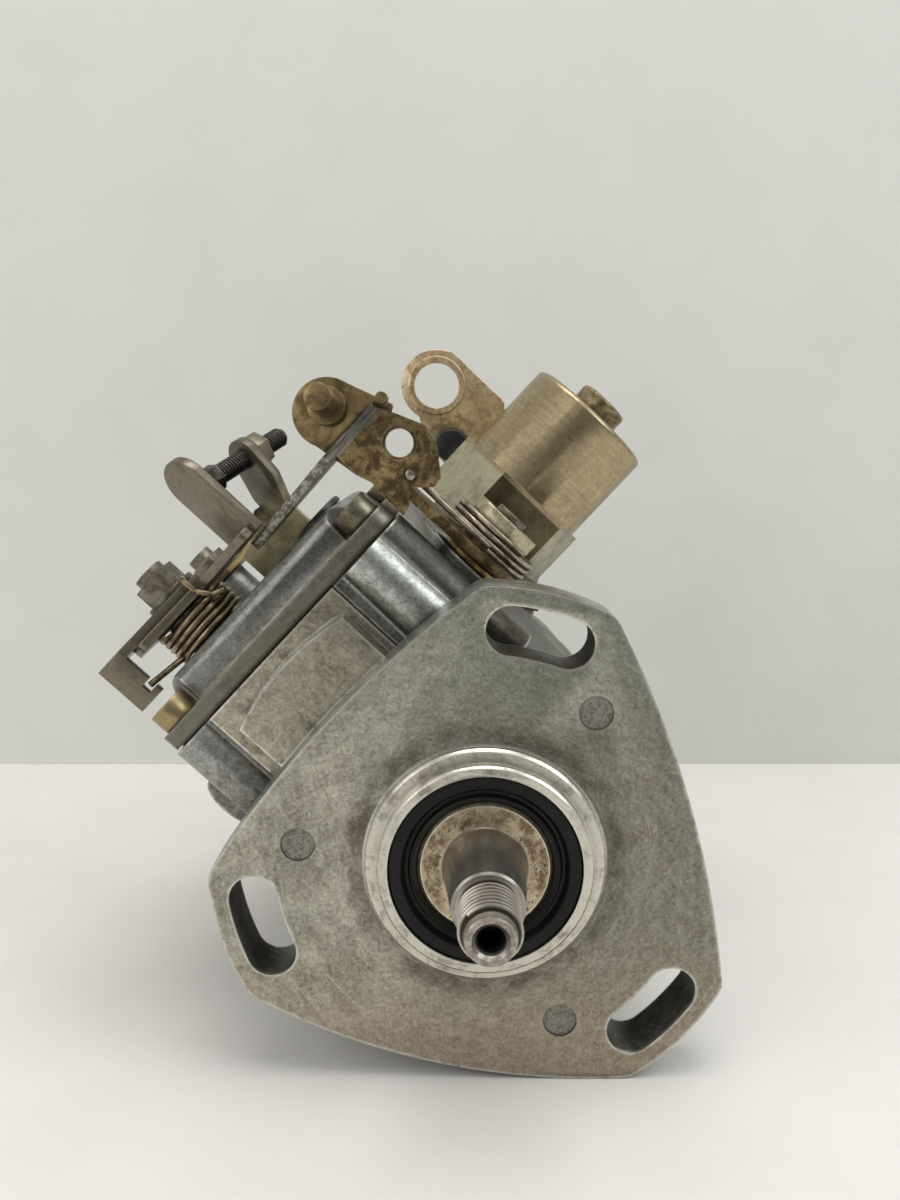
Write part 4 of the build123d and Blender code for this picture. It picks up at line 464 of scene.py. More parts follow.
def housing_finish():
    """The housing: machined face and ring, slots with oil on their walls, rough marks and a darker skin behind the
    flange, partly painted shade.
    """
    c = colours()
    f = Finish("cast_housing", tuple(c.housing), 0.85, 0.33)
    fine = f.noise(0.75, 6, 0.85)
    middle = f.noise(2.3, 7, 0.8)
    broad = f.noise(15, 8, 0.78, distortion=0.5)
    radius = f.away(ORIGIN, AFT)
    aft, side, up = f.along(AFT), f.along(SIDE), f.along(UP)
    paint_box(f, broad, middle, aft, side, up)
    face = f.ramp(aft, 0.35, 0.6, 1.0, 0.0)
    f.colour = f.mix(face, f.colour, flange_skin(f, broad))
    f.layer(face, None, 0.38, 0.78)
    speck = f.ramp(f.noise(1.0, 5, 0.75), 0.575, 0.65, 0.0, 0.8)
    f.layer(f.times(speck, f.ramp(broad, 0.38, 0.55, 0.35, 1.0)), tuple(c.oil), 0.5)
    f.tint(fine, 0.38)
    f.tint(middle, 0.34)
    bright_arcs = f.ramp(f.rounds(0.55, 14), 0.60, 0.70, 0.0, 0.28)
    f.layer(f.times(face, bright_arcs, f.ramp(broad, 0.42, 0.56)), BRIGHT, 0.28)
    dark_arcs = f.ramp(f.rounds(0.7, 9), 0.30, 0.40, 0.15, 0.0)
    f.layer(f.times(face, dark_arcs), faded(c.flange_brown, 0.5), 0.45)
    # the rim, worn bright everywhere but at the ejector marks
    marks = [f.away(polar(angle) * MARK_CIRCLE * MM, AFT) for angle in MARK_ANGLES]
    nearest = f.sums("MINIMUM", f.sums("MINIMUM", marks[0], marks[1]), marks[2])
    clear = f.ramp(nearest, MARK_RADIUS + 0.3, MARK_RADIUS + 0.9)
    rim = f.times(f.band(aft, 0.07, 0.45, 0.05), f.ramp(radius, RING_RADIUS + 0.3, RING_RADIUS + 1.3), clear)
    f.layer(f.times(rim, f.ramp(middle, 0.38, 0.5, 0.1, 0.9)), BRIGHT, 0.24, 0.95)
    scratch = f.ramp(f.noise(1.1, 3, 0.55, (0.03, 1, 1), SIDE + UP * 0.4), 0.62, 0.70, 0.0, 0.22)
    f.layer(f.times(face, scratch, f.ramp(middle, 0.4, 0.6)), BRIGHT, 0.3)
    # the ring round the seal and the stain about it
    stain = f.ramp(f.noise(9, 6, 0.75), 0.35, 0.6, 0.1, 0.75)
    f.layer(f.times(face, f.band(radius, RING_RADIUS, 29.5, 2.5), stain), faded(c.flange_brown, 0.6), 0.46)
    ring = f.times(f.ramp(aft, 0.2, 0.5, 1.0, 0.0), f.ramp(radius, RING_RADIUS, RING_RADIUS + 0.3, 1.0, 0.0))
    f.layer(ring, tuple(c.machined), 0.27, 0.95)
    f.layer(f.times(ring, f.ramp(f.noise(6, 7, 0.78), 0.47, 0.66, 0.0, 0.7)), tuple(c.flange_brown), 0.42)
    foot = f.times(f.band(radius, 24.2, 25.4, 0.3), f.ramp(aft, 0.6, 0.1, 1.0, 0.0))
    f.layer(foot, tuple(c.ring_foot), 0.5)
    for angle in SLOT_ANGLES:
        out = polar(angle)
        reach = f.band(f.along(out), *SLOT_SPAN)
        wide = f.band(f.along(out.cross(AFT)), -SLOT_HALF, SLOT_HALF)
        wall = f.times(reach, wide, f.band(aft, 0.9, 13.2, 0.3))
        f.layer(f.times(wall, f.ramp(middle, 0.3, 0.65, 1.0, 0.75)), OIL, 0.5, 0.3)
    # the ejector marks
    shallow = f.ramp(aft, 0.8, 1.0, 1.0, 0.0)
    pit = f.times(f.ramp(nearest, MARK_RADIUS - 0.1, MARK_RADIUS + 0.1, 1.0, 0.0), shallow)
    f.layer(pit, tuple(c.mark), 0.5, 0.7)
    f.layer(f.times(pit, f.ramp(fine, 0.48, 0.58, 0.0, 0.85)), faded(c.mark, 0.4), 0.65)
    f.layer(f.times(f.band(nearest, 3.35, 3.6, 0.12), shallow, 0.6), faded(c.mark, 0.3), 0.6)
    f.raise_by(f.times(pit, f.noise(0.7, 3)), 0.08)
    f.raise_by(fine, 0.02)
    f.raise_by(f.times(middle, f.mix(face, 1.0, 0.35)), 0.06)
    # oil in tight corners, darkened further as painted shade
    f.layer(f.times(f.dirt_and_shade_creases(2.5), f.ramp(aft, -1, 1, 0.6, 1.0)), faded(c.oil, 0.4), 0.55)
    worn = f.times(f.corners(1.3, 0.992, 0.93), f.ramp(middle, 0.36, 0.52, 0.1, 0.95), clear)
    f.layer(worn, BRIGHT, 0.26, 0.95)
    return f.done()


def plated(name, base, dirt, light, rough=0.36, patch=5.0, cover=(0.42, 0.62), metallic=0.9, turned=None, soil=0.85):
    """Plated or bare steel with stains, specks and rubbed edges; turned is the axis of a turned piece."""
    f = Finish(name, base, metallic, rough)
    broad = f.noise(patch, 7, 0.68, distortion=0.7)
    fine = f.noise(0.45, 5, 0.7)
    f.tint(f.noise(1.6, 5, 0.7), 0.15)
    f.tint(fine, 0.12)
    if turned is not None:
        lines = f.noise(0.35, 3, 0.6, (60, 60, 1), turned)
        f.tint(lines, 0.12)
        f.raise_by(lines, 0.003)
    f.layer(f.ramp(broad, *cover, 0.0, soil), dirt, rough + 0.14)
    f.layer(f.ramp(f.noise(0.9, 3, 0.6), 0.68, 0.74, 0.0, 0.8), OIL, 0.6)
    # dirt in tight corners, darkened further as painted shade
    f.layer(f.times(f.dirt_and_shade_creases(1.6), 0.8), faded(dirt, 0.35), 0.6)
    f.raise_by(fine, 0.004)
    f.raise_by(broad, 0.01)
    f.layer(f.times(f.corners(0.35), f.ramp(broad, 0.3, 0.6, 0.32, 0.8)), light, 0.26, 1.0)
    return f


def shaft_finish():
    """Drive shaft: stained collar, satin taper, thread with roots darkened by oil and painted shade, and a tip with its
    hole painted dark as shade.
    """
    c = colours()
    f = plated("shaft_steel", tuple(c.shaft), (0.15, 0.105, 0.065), (0.6, 0.58, 0.55), 0.3, 7.0, (0.5, 0.75),
               turned=AFT)
    radius = f.away(ORIGIN, AFT)
    aft = f.along(AFT)
    collar = f.times(f.band(aft, -3.6, -2.2), f.ramp(radius, 8.8, 9.4))
    f.layer(collar, tuple(c.collar), 0.32)
    stain = f.ramp(f.noise(5, 7, 0.78), 0.42, 0.6, 0.0, 0.85)
    f.layer(f.times(collar, stain, f.band(radius, 9.4, COLLAR_RADIUS, 0.6)), (0.14, 0.095, 0.05), 0.45)
    f.layer(f.times(collar, f.ramp(f.noise(0.7, 3, 0.6), 0.58, 0.66), 0.8), (0.04, 0.03, 0.02), 0.55)
    f.layer(f.times(collar, f.ramp(radius, COLLAR_RADIUS - 0.1, COLLAR_RADIUS + 0.2)), (0.6, 0.53, 0.42), 0.25)
    taper = f.band(aft, THREAD_END, -3.8)
    f.layer(f.times(taper, 0.85), tuple(c.taper), 0.3)
    f.tint(f.noise(2.0, 6, 0.75, (1, 1, 4), AFT), 0.25)
    f.layer(f.times(taper, f.ramp(aft, -9, -4, 0.0, 0.6)), (0.20, 0.135, 0.08), 0.4)
    thread = f.band(aft, -34.6, THREAD_END + 0.3)
    # thread roots darkened for oil, and further as painted shade
    f.layer(f.times(thread, f.ramp(radius, 5.3, 5.8, 1.0, 0.0)), (0.05, 0.04, 0.03), 0.5)
    crest = f.times(f.ramp(radius, 5.75, 5.95), f.ramp(radius, 6.3, 6.1))
    f.layer(f.times(thread, crest), (0.46, 0.42, 0.38), 0.34)
    f.layer(f.ramp(aft, -34.4, -34.8, 0.0, 0.9), (0.42, 0.39, 0.365), 0.33, 1.0)
    tip = f.times(f.ramp(aft, -35.8, -36.2), f.ramp(f.noise(1.6, 5, 0.75), 0.42, 0.6, 0.0, 0.7))
    f.layer(tip, (0.17, 0.13, 0.10), 0.42)
    # painted shade: the inside of the hole in the tip is painted near black
    hole = f.times(f.ramp(radius, 2.7, 3.0, 1.0, 0.0), f.ramp(aft, -25, -26))
    f.layer(hole, (0.010, 0.008, 0.006), 0.5, 0.0)
    return f.done()


def cover_bolt_finish():
    """Cover screws: the left one gold plated, the others dull grey green."""
    f = plated("cover_bolt_plate", (0.24, 0.225, 0.165), (0.085, 0.07, 0.04), (0.55, 0.53, 0.46), 0.32, 5.0)
    left = f.ramp(f.along(SIDE), -10, 0, 0.8, 0.0)
    f.layer(left, (0.36, 0.28, 0.14), 0.32)
    return f.done()


def can_finish():
    """Solenoid: satin turned can on a paler hexagon, with painted shade on the dark front flat."""
    c = colours()
    f = plated("solenoid_can", tuple(c.can), (0.26, 0.2, 0.11), (0.8, 0.76, 0.66), 0.3, 14.0, (0.48, 0.8),
               turned=SIDE, soil=0.55, metallic=1.0)
    hexagon = f.ramp(f.along(SIDE), HEXAGON_END, HEXAGON_END + 0.5, 1.0, 0.0)
    f.layer(f.times(hexagon, 0.85), (0.46, 0.43, 0.32), 0.36)
    f.layer(f.times(hexagon, f.ramp(f.noise(7, 6, 0.75), 0.45, 0.65, 0.0, 0.7)), (0.24, 0.22, 0.15), 0.42)
    f.tint(f.noise(3.0, 6, 0.75), 0.14)
    # painted shade: the hexagon's flat facing the front is darkened
    shaded_front_flat = f.times(hexagon, f.facing(-AFT, 0.8, 0.9))
    f.layer(f.times(shaded_front_flat, f.ramp(f.noise(8, 5, 0.7), 0.3, 0.6, 0.95, 0.8)), (0.068, 0.054, 0.024), 0.34)
    return f.done()


def bracket_finish():
    """Stop bracket: khaki plate at its foot, dark steel from the bend up."""
    c = colours()
    f = plated("khaki_zinc_plate", tuple(c.khaki), (0.22, 0.18, 0.095), (0.5, 0.48, 0.4), 0.46, 7.0,
               metallic=0.6, soil=0.6)
    f.layer(f.ramp(f.along(UP), 84.0, 88.0, 0.0, 0.95), faded(c.lever, 0.55), 0.34)
    return f.done()


def idle_finish():
    """Fast-idle lever: mottled old plate with a bare, streaked pull bar."""
    c = colours()
    f = plated("idle_zinc_plate", tuple(c.old_zinc), (0.062, 0.042, 0.02), (0.5, 0.43, 0.3), 0.38, 4.5, (0.4, 0.58))
    f.tint(f.noise(2.2, 7, 0.8), 0.4)
    f.layer(f.ramp(f.noise(1.3, 6, 0.8), 0.52, 0.62, 0.0, 0.75), (0.045, 0.032, 0.018), 0.5)
    bar_edge = f.band(f.along(UP), *PULL_BAR_SPAN)
    f.layer(f.times(bar_edge, 0.97), (0.31, 0.30, 0.265), 0.28, 1.0)
    streaks = f.ramp(f.noise(0.9, 5, 0.7, (1, 1, 14), SIDE), 0.42, 0.58, 0.85, 0.0)
    f.layer(f.times(bar_edge, streaks), (0.075, 0.066, 0.05), 0.36)
    return f.done()


def matt(name, base, dust, rough=(0.35, 0.6), shine=0.5):
    """Rubber, fibre or plastic with a little dust."""
    f = Finish(name, base, 0.0, rough[0])
    f.layer(f.ramp(f.noise(8.0, 6, 0.7), 0.45, 0.72), dust, rough[1])
    f.raise_by(f.noise(0.4, 3), 0.01)
    f.shader.inputs["Specular IOR Level"].default_value = shine
    return f.done()


def make_finishes():
    """Fills FINISHES with the pump's materials."""
    c = colours()
    FINISHES.update(
        housing=housing_finish(),
        cover=cover_finish(),
        rear=cast("cast_end_plate", tuple(c.housing), tuple(c.oil)).done(),
        khaki=bracket_finish(),
        idle=idle_finish(),
        can=can_finish(),
        cover_bolt=cover_bolt_finish(),
        shaft=shaft_finish(),
        rubber=matt("seal_rubber", tuple(c.rubber), (0.012, 0.012, 0.011), (0.38, 0.55), 0.22),
        plastic=matt("black_plastic", (0.012, 0.013, 0.016), (0.035, 0.035, 0.033), (0.3, 0.5)),
        gasket=matt("gasket_fibre", (0.05, 0.045, 0.035), (0.12, 0.1, 0.07), (0.6, 0.8)),
    )
    # finish: name, base, dirt, rubbed edge, roughness, size of patches, where patches begin and are full, amount
    for key, name, base, dirt, light, rough, patch, cover, soil in (
        ("lever", "lever_steel", c.lever, (0.105, 0.08, 0.055), (0.62, 0.6, 0.56), 0.34, 9.0, (0.5, 0.72), 0.7),
        ("old_zinc", "brown_zinc_plate", c.old_zinc, (0.085, 0.06, 0.03), (0.52, 0.46, 0.34),
         0.38, 6.0, (0.42, 0.64), 0.85),
        ("eye", "eye_zinc_plate", (0.73, 0.59, 0.37), (0.36, 0.23, 0.12), (0.74, 0.70, 0.62),
         0.34, 3.5, (0.42, 0.6), 0.8),
        ("pale_zinc", "pale_zinc_plate", c.pale_zinc, (0.2, 0.17, 0.1), (0.66, 0.64, 0.58), 0.3, 10.0, (0.5, 0.8), 0.6),
        ("coil", "throttle_spring_wire", (0.30, 0.235, 0.145), (0.11, 0.08, 0.045), (0.5, 0.43, 0.32),
         0.28, 4.0, (0.4, 0.66), 0.85),
        ("gold_zinc", "gold_zinc_plate", (0.46, 0.38, 0.20), (0.16, 0.12, 0.05), (0.68, 0.62, 0.48),
         0.28, 6.0, (0.42, 0.62), 0.85),
        ("idle_nut", "idle_nut_plate", (0.46, 0.42, 0.29), (0.2, 0.16, 0.09), (0.62, 0.58, 0.46),
         0.32, 4.0, (0.42, 0.62), 0.85),
        ("dark_bolt", "dark_bolt", (0.20, 0.18, 0.145), (0.07, 0.055, 0.035), (0.5, 0.48, 0.42),
         0.34, 5.0, (0.42, 0.62), 0.85),
        ("ground", "ground_steel", (0.56, 0.55, 0.53), (0.3, 0.26, 0.2), (0.8, 0.8, 0.78),
         0.22, 12.0, (0.55, 0.85), 0.5),
        ("head", "head_steel", (0.3, 0.28, 0.25), (0.11, 0.09, 0.06), (0.6, 0.58, 0.55),
         0.34, 10.0, (0.42, 0.62), 0.85),
        ("dark_thread", "oiled_thread", (0.10, 0.092, 0.082), (0.03, 0.026, 0.02), (0.36, 0.34, 0.31),
         0.34, 4.0, (0.42, 0.62), 0.85),
        ("wire", "spring_wire", (0.36, 0.31, 0.24), (0.10, 0.075, 0.045), (0.62, 0.58, 0.5),
         0.26, 4.0, (0.42, 0.7), 0.85),
        ("bronze", "sintered_bronze", (0.5, 0.36, 0.16), (0.14, 0.09, 0.035), (0.7, 0.58, 0.34),
         0.32, 5.0, (0.42, 0.62), 0.85),
    ):
        FINISHES[key] = plated(name, tuple(base), dirt, light, rough, patch, cover, soil=soil).done()
    terminal = plated("terminal_brass", (0.29, 0.225, 0.13), (0.08, 0.055, 0.03), (0.45, 0.38, 0.27), 0.32, 4.0,
                      metallic=0.8)
    FINISHES["resin"] = terminal.done()


# ---------------------------------------------------------------- ways of making
def only(piece):
    """Selects one piece alone."""
    bpy.ops.object.select_all(action="DESELECT")
    piece.select_set(True)
    bpy.context.view_layer.objects.active = piece


def basis(along, out):
    """Turns local Z to along and local X to out."""
    z = along.normalized()
    x = (out - z * out.dot(z)).normalized()
    y = z.cross(x)
    return Matrix((x, y, z)).transposed().to_4x4()


def settle(piece, place=ORIGIN, along=Vector((0, 0, 1)), out=Vector((1, 0, 0))):
    """Moves a piece made at the origin to its place and applies it to the mesh."""
    only(piece)
    piece.matrix_world = Matrix.Translation(place) @ basis(along, out)
    bpy.ops.object.transform_apply(location=True, rotation=True, scale=True)


def apply_modifiers(piece):
    """Applies the piece's modifiers in order."""
    only(piece)
    for modifier in list(piece.modifiers):
        bpy.ops.object.modifier_apply(modifier=modifier.name)


def soften(piece, width):
    """Rounds the piece's sharp edges."""
    bevel = piece.modifiers.new("rounding", "BEVEL")
    bevel.width = width
    bevel.segments = 2
    bevel.limit_method = "ANGLE"
    bevel.angle_limit = SHARP
    bevel.use_clamp_overlap = True
    apply_modifiers(piece)
    bpy.ops.object.shade_smooth_by_angle(angle=SMOOTH)


def finished(piece, name, finish, body, slot, *nodes):
    """Names, paints and seats a piece."""
    piece.name = name
    piece.data.name = name
    piece.data.materials.clear()
    piece.data.materials.append(FINISHES[finish])
    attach(piece, body)
    if nodes:
        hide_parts(*nodes)
    return piece


SLOTS = {part["node"]: part["material_slot"] for part in frame["record"]["subparts"]}
BODY_OF = {node: body for body, nodes in frame["record"]["behaviour"]["bodies"].items() for node in nodes}


def dressed(node, finish, width):
    """Copy of a solid with merged faces and rounded edges."""
    piece = bpy.data.objects.new(node + "_piece", frame["nodes"][node].data.copy())
    bpy.context.scene.collection.objects.link(piece)
    only(piece)
    bpy.ops.object.mode_set(mode="EDIT")
    bpy.ops.mesh.select_all(action="SELECT")
    bpy.ops.mesh.remove_doubles(threshold=0.002 * MM)
    bpy.ops.mesh.dissolve_limited(angle_limit=FLAT)
    bpy.ops.object.mode_set(mode="OBJECT")
    if width:
        soften(piece, width)
    else:
        bpy.ops.object.shade_smooth_by_angle(angle=SMOOTH)
    return finished(piece, node + "_piece", finish, BODY_OF[node], SLOTS[node], node)


def repaint(node, finish):
    """Gives a solid its finish as it is."""
    data = frame["nodes"][node].data
    data.materials.clear()
    data.materials.append(FINISHES[finish])


def lathe(name, profile, place, along, out=UP, steps=None):
    """Turned piece from (distance along, radius) points in millimetres."""
    bpy.ops.object.select_all(action="DESELECT")
    bpy.ops.mesh.primitive_circle_add(vertices=3, radius=MM, location=(0, 0, 0))
    piece = bpy.context.object
    bpy.ops.object.mode_set(mode="EDIT")
    bpy.ops.mesh.select_all(action="SELECT")
    bpy.ops.mesh.merge(type="CENTER")
    points = [Vector((radius, 0, along_mm)) * MM for along_mm, radius in profile]
    bpy.ops.transform.translate(value=points[0])
    for before, after in zip(points, points[1:]):
        bpy.ops.mesh.extrude_region_move(TRANSFORM_OT_translate={"value": after - before})
    bpy.ops.mesh.select_all(action="SELECT")
    bpy.ops.mesh.spin(steps=steps or sizes().turn_steps, angle=2 * math.pi, center=(0, 0, 0), axis=(0, 0, 1))
    bpy.ops.mesh.select_all(action="SELECT")
    bpy.ops.mesh.remove_doubles(threshold=0.003 * MM)
    bpy.ops.mesh.normals_make_consistent(inside=False)
    bpy.ops.object.mode_set(mode="OBJECT")
    bpy.ops.object.shade_smooth_by_angle(angle=SMOOTH_TURNED)
    settle(piece, place, along, out)
    piece.name = name
    return piece


def wound(name, outline, pitch, turns, place, along, out=UP, steps=32):
    """Closed section swept along a helix; the section is (radius, distance) points in millimetres."""
    bpy.ops.object.select_all(action="DESELECT")
    bpy.ops.mesh.primitive_circle_add(vertices=len(outline), radius=MM, location=(0, 0, 0))
    piece = bpy.context.object
    for vertex, (radius, distance) in zip(piece.data.vertices, outline):
        vertex.co = Vector((radius, 0, distance)) * MM
    screw = piece.modifiers.new("winding", "SCREW")
    screw.axis = "Z"
    screw.angle = turns * 2 * math.pi
    screw.screw_offset = pitch * turns * MM
    screw.iterations = 1
    screw.steps = max(8, round(steps * turns))
    screw.render_steps = screw.steps
    screw.use_smooth_shade = True
    apply_modifiers(piece)
    bpy.ops.object.mode_set(mode="EDIT")
    bpy.ops.mesh.select_all(action="SELECT")
    bpy.ops.mesh.fill_holes(sides=0)
    bpy.ops.mesh.select_all(action="SELECT")
    bpy.ops.mesh.normals_make_consistent(inside=False)
    bpy.ops.object.mode_set(mode="OBJECT")
    bpy.ops.object.shade_smooth_by_angle(angle=SMOOTH_WOUND)
    settle(piece, place, along, out)
    piece.name = name
    return piece


def ring_section(radius, wire):
    """Round section of a wire at a radius, with twelve corners."""
    turns = [2 * math.pi * k / 12 for k in range(12)]
    return [(radius + wire * math.cos(turn), wire * math.sin(turn)) for turn in turns]


def coil(name, wire, shape, place, along, out=UP):
    """Coil of round wire from its radius, pitch and turns."""
    radius, pitch, turns = shape
    return wound(name, ring_section(radius, wire), pitch, turns, place, along, out)


def thread_section(core, crest, pitch):
    """Tooth section of a thread that stands on its core, with its root sunk into it."""
    root, start, end = core - 0.25, 0.02, pitch * 0.96
    return [(root, start), (core, start), (crest, pitch * 0.42), (crest, pitch * 0.56), (core, end), (root, end)]


def bar(name, start, end, radius, corners=24):
    """Round bar or wire between two places, with softened ends."""
    bpy.ops.object.select_all(action="DESELECT")
    reach = end - start
    middle = (0, 0, reach.length / 2)
    bpy.ops.mesh.primitive_cylinder_add(vertices=corners, radius=radius * MM, depth=reach.length, location=middle)
    piece = bpy.context.object
    bpy.ops.object.transform_apply(location=True)
    soften(piece, radius * MM * 0.3)
    settle(piece, start, reach, AFT if abs(reach.normalized().y) < 0.9 else UP)
    piece.name = name
    return piece


def joined(pieces):
    """One mesh from several pieces."""
    bpy.ops.object.select_all(action="DESELECT")
    for piece in pieces:
        piece.select_set(True)
    bpy.context.view_layer.objects.active = pieces[0]
    bpy.ops.object.join()
    return pieces[0]


def sheet(name, place, turn, size, colour, rough, one_sided):
    """Flat painted part of the room; a one-sided sheet is clear from behind."""
    bpy.ops.object.select_all(action="DESELECT")
    bpy.ops.mesh.primitive_plane_add(size=1, location=place, rotation=turn)
    piece = bpy.context.object
    piece.name = name
    piece.scale = (*size, 1)
    bpy.ops.object.transform_apply(location=True, rotation=True, scale=True)
    paint = Finish(name + "_paint", tuple(colour), 0.0, rough)
    paint.layer(paint.ramp(paint.noise(42, 5), 0.35, 0.75), faded(colour, 0.96))
    piece.data.materials.append(paint.done())
    if one_sided:
        choose = paint.node("MixShader")
        paint.put(paint.node("NewGeometry").outputs["Backfacing"], choose.inputs["Fac"])
        paint.put(paint.shader.outputs[0], choose.inputs[1])
        paint.put(paint.node("BsdfTransparent").outputs[0], choose.inputs[2])
        paint.put(choose.outputs[0], paint.tree.nodes["Material Output"].inputs["Surface"])


def lamp(name, place, aim, size, power, colour):
    """Rectangular lamp aimed at a place."""
    data = bpy.data.lights.new(name, "AREA")
    data.shape = "RECTANGLE"
    data.size, data.size_y = size
    data.energy = power
    data.color = colour
    piece = bpy.data.objects.new(name, data)
    bpy.context.scene.collection.objects.link(piece)
    piece.location = place
    piece.rotation_euler = (Vector(aim) - Vector(place)).to_track_quat("-Z", "Y").to_euler()


def room_light():
    """Pale light from all round, dimmer from the front and from below."""
    world = bpy.data.worlds.new("room")
    bpy.context.scene.world = world
    world.use_nodes = True
    tree = world.node_tree
    look = tree.nodes.new("ShaderNodeTexCoord")
    split = tree.nodes.new("ShaderNodeVectorMath")
    split.operation = "DOT_PRODUCT"
    split.inputs[1].default_value = FRONT_AND_BELOW
    tree.links.new(look.outputs["Generated"], split.inputs[0])
    dim = tree.nodes.new("ShaderNodeMapRange")
    dim.interpolation_type = "SMOOTHSTEP"
    dim.inputs["From Min"].default_value = 0.15
    dim.inputs["From Max"].default_value = 0.85
    tree.links.new(split.outputs["Value"], dim.inputs["Value"])
    shade = tree.nodes.new("ShaderNodeMix")
    shade.data_type = "RGBA"
    tree.links.new(dim.outputs["Result"], shade.inputs[0])
    shade.inputs[6].default_value = (1.0, 1.0, 0.97, 1)
    shade.inputs[7].default_value = (0.30, 0.30, 0.285, 1)
    tree.links.new(shade.outputs[2], tree.nodes["Background"].inputs["Color"])
    tree.nodes["Background"].inputs["Strength"].default_value = 0.6


# ---------------------------------------------------------------- pieces
class PUMP_OT_castings(bpy.types.Operator):
    """Make the castings: housing, cover and end plate"""

    bl_idname = "pump.castings"
    bl_label = "Castings"

    def execute(self, context):
        width = sizes().cast_round
        housing = dressed("pump_housing", "housing", width)
        profile = [(0, 0), (0, 6.8), (27.4, 6.3), (27.4, 0)]
        column = lathe("front_column", profile, at(27.3, 20.5, 34), UP, AFT, 64)
        column.data.materials.append(FINISHES["housing"])
        joined([housing, column])
        dressed("governor_cover", "cover", width * 0.7)
        dressed("end_plate", "rear", width)
        dressed("hydraulic_head", "head", width * 0.6)
        dressed("cover_gasket", "gasket", 0)
        return {"FINISHED"}


class PUMP_OT_sheet_metal(bpy.types.Operator):
    """Make the levers and brackets of bent sheet"""

    bl_idname = "pump.sheet_metal"
    bl_label = "Levers and brackets"

    def execute(self, context):
        width = sizes().sheet_round
        for node, finish in (
            ("throttle_lever", "lever"),
            ("spring_anchor_plate", "lever"),
            ("stop_lever", "old_zinc"),
            ("stop_bracket", "khaki"),
            ("fast_idle_lever", "idle"),
            ("cable_arm", "old_zinc"),
            ("eye_bracket", "eye"),
        ):
            dressed(node, finish, width)
        return {"FINISHED"}


class PUMP_OT_drive_shaft(bpy.types.Operator):
    """Turn the drive shaft and its thread"""

    bl_idname = "pump.drive_shaft"
    bl_label = "Drive shaft"

    def execute(self, context):
        pitch = sizes().nose_pitch / MM
        shaft = lathe(
            "drive_shaft_piece",
            [
                # hole and rounded tip
                (-26.5, 0), (-27.2, 2.3), (-35.3, 2.5), (-36.1, 3.1), (-36.5, 3.5), (-36.5, 4.35), (-36.2, 4.7),
                # core of the thread and its run-out
                (-34.0, 5.0), (-33.6, 5.15), (-24.2, 5.15), (-23.9, 5.0), (-22.8, 5.0),
                # taper, fillet and collar
                (-22.6, 6.7), (-22.2, 7.15), (-3.75, 8.65), (-3.4, 8.9), (-3.32, 9.3), (-3.3, 9.7), (-3.3, 13.3),
                (-2.7, 13.95),
                # journal and socket for the rotor
                (36.4, 13.95), (36.5, 11.95), (68.4, 11.95), (68.5, 7.1), (62.6, 7.1), (62.6, 0),
            ],
            ORIGIN, AFT,
        )
        tooth = thread_section(*NOSE_THREAD, pitch)
        thread = wound("nose_thread", tooth, pitch, NOSE_TURNS, at(0, -34.3, 0), AFT, steps=40)
        finished(joined([shaft, thread]), "drive_shaft_piece", "shaft", "drive", "steel_dark", "drive_shaft")
        return {"FINISHED"}


class PUMP_OT_shaft_seal(bpy.types.Operator):
    """Turn the lip seal"""

    bl_idname = "pump.shaft_seal"
    bl_label = "Shaft seal"

    def execute(self, context):
        seal = lathe(
            "shaft_seal_piece",
            [
                # outer wall and its rounded front
                (-4.3, 19.95), (-4.75, 19.6), (-4.8, 19.2), (-4.8, 17.6), (-4.7, 17.3), (-4.35, 17.1),
                # groove and dust lip
                (-3.6, 16.9), (-3.1, 16.5), (-3.1, 15.9), (-3.5, 15.6), (-4.1, 15.4), (-4.25, 15.15), (-4.1, 14.9),
                # sealing lip and back
                (-3.4, 14.6), (-2.9, 14.2), (-2.6, 14.06), (-0.5, 14.06), (-0.4, 16.2), (0.4, 17.5), (2.1, 18.0),
                (2.1, 19.9), (-4.3, 19.95),
            ],
            ORIGIN, AFT,
        )
        finished(seal, "shaft_seal_piece", "rubber", "housing", "rubber_black", "shaft_seal")
        return {"FINISHED"}


class PUMP_OT_springs(bpy.types.Operator):
    """Wind the throttle, fast idle and advance springs"""

    bl_idname = "pump.springs"
    bl_label = "Springs"

    def execute(self, context):
        wire = sizes().throttle_wire / MM
        turns = coil("throttle_coil", wire, THROTTLE_COIL, at(-16, 50, 75.1), UP, -SIDE)
        leg = bar("throttle_leg", at(-23.2, 43.3, 75.6), at(-32.8, 38.2, 77.0), wire * 0.95, 12)
        # the upper end goes under the lever, round its edge and back over it
        bends = [
            at(-8.7, 43.4, 79.9), at(-3.6, 40.0, 79.3), at(-6.6, 39.8, 80.7), at(-8.8, 39.9, 84.0),
            at(-9.0, 40.4, 88.0), at(-9.6, 43.4, 88.6),
        ]
        hook = [bar("throttle_hook", start, end, wire * 0.9, 12) for start, end in zip(bends, bends[1:])]
        spring = joined([turns, leg, *hook])
        finished(spring, "throttle_spring_piece", "coil", "throttle", "spring_steel", "throttle_spring")
        wire = sizes().idle_wire / MM
        turns = coil("idle_coil", wire, IDLE_COIL, at(46.0, 40, 41.5), SIDE, -AFT)
        corner = at(46.9, 28.8, 65.5)
        leg = bar("idle_leg", at(46.9, 28.8, 41.5), corner, wire, 12)
        hook = bar("idle_hook", corner + AFT * 0.6 * MM, corner - AFT * 5.8 * MM, wire * 1.55, 16)
        spring = joined([turns, leg, hook])
        finished(spring, "fast_idle_spring_piece", "wire", "fast_idle", "spring_steel", "fast_idle_spring")
        wire = sizes().advance_wire / MM
        spring = coil("advance_coil", wire, ADVANCE_COIL, at(10.95, 79, -41), SIDE)
        finished(spring, "advance_spring_piece", "wire", "housing", "spring_steel", "advance_spring")
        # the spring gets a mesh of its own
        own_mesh(spring)
        return {"FINISHED"}


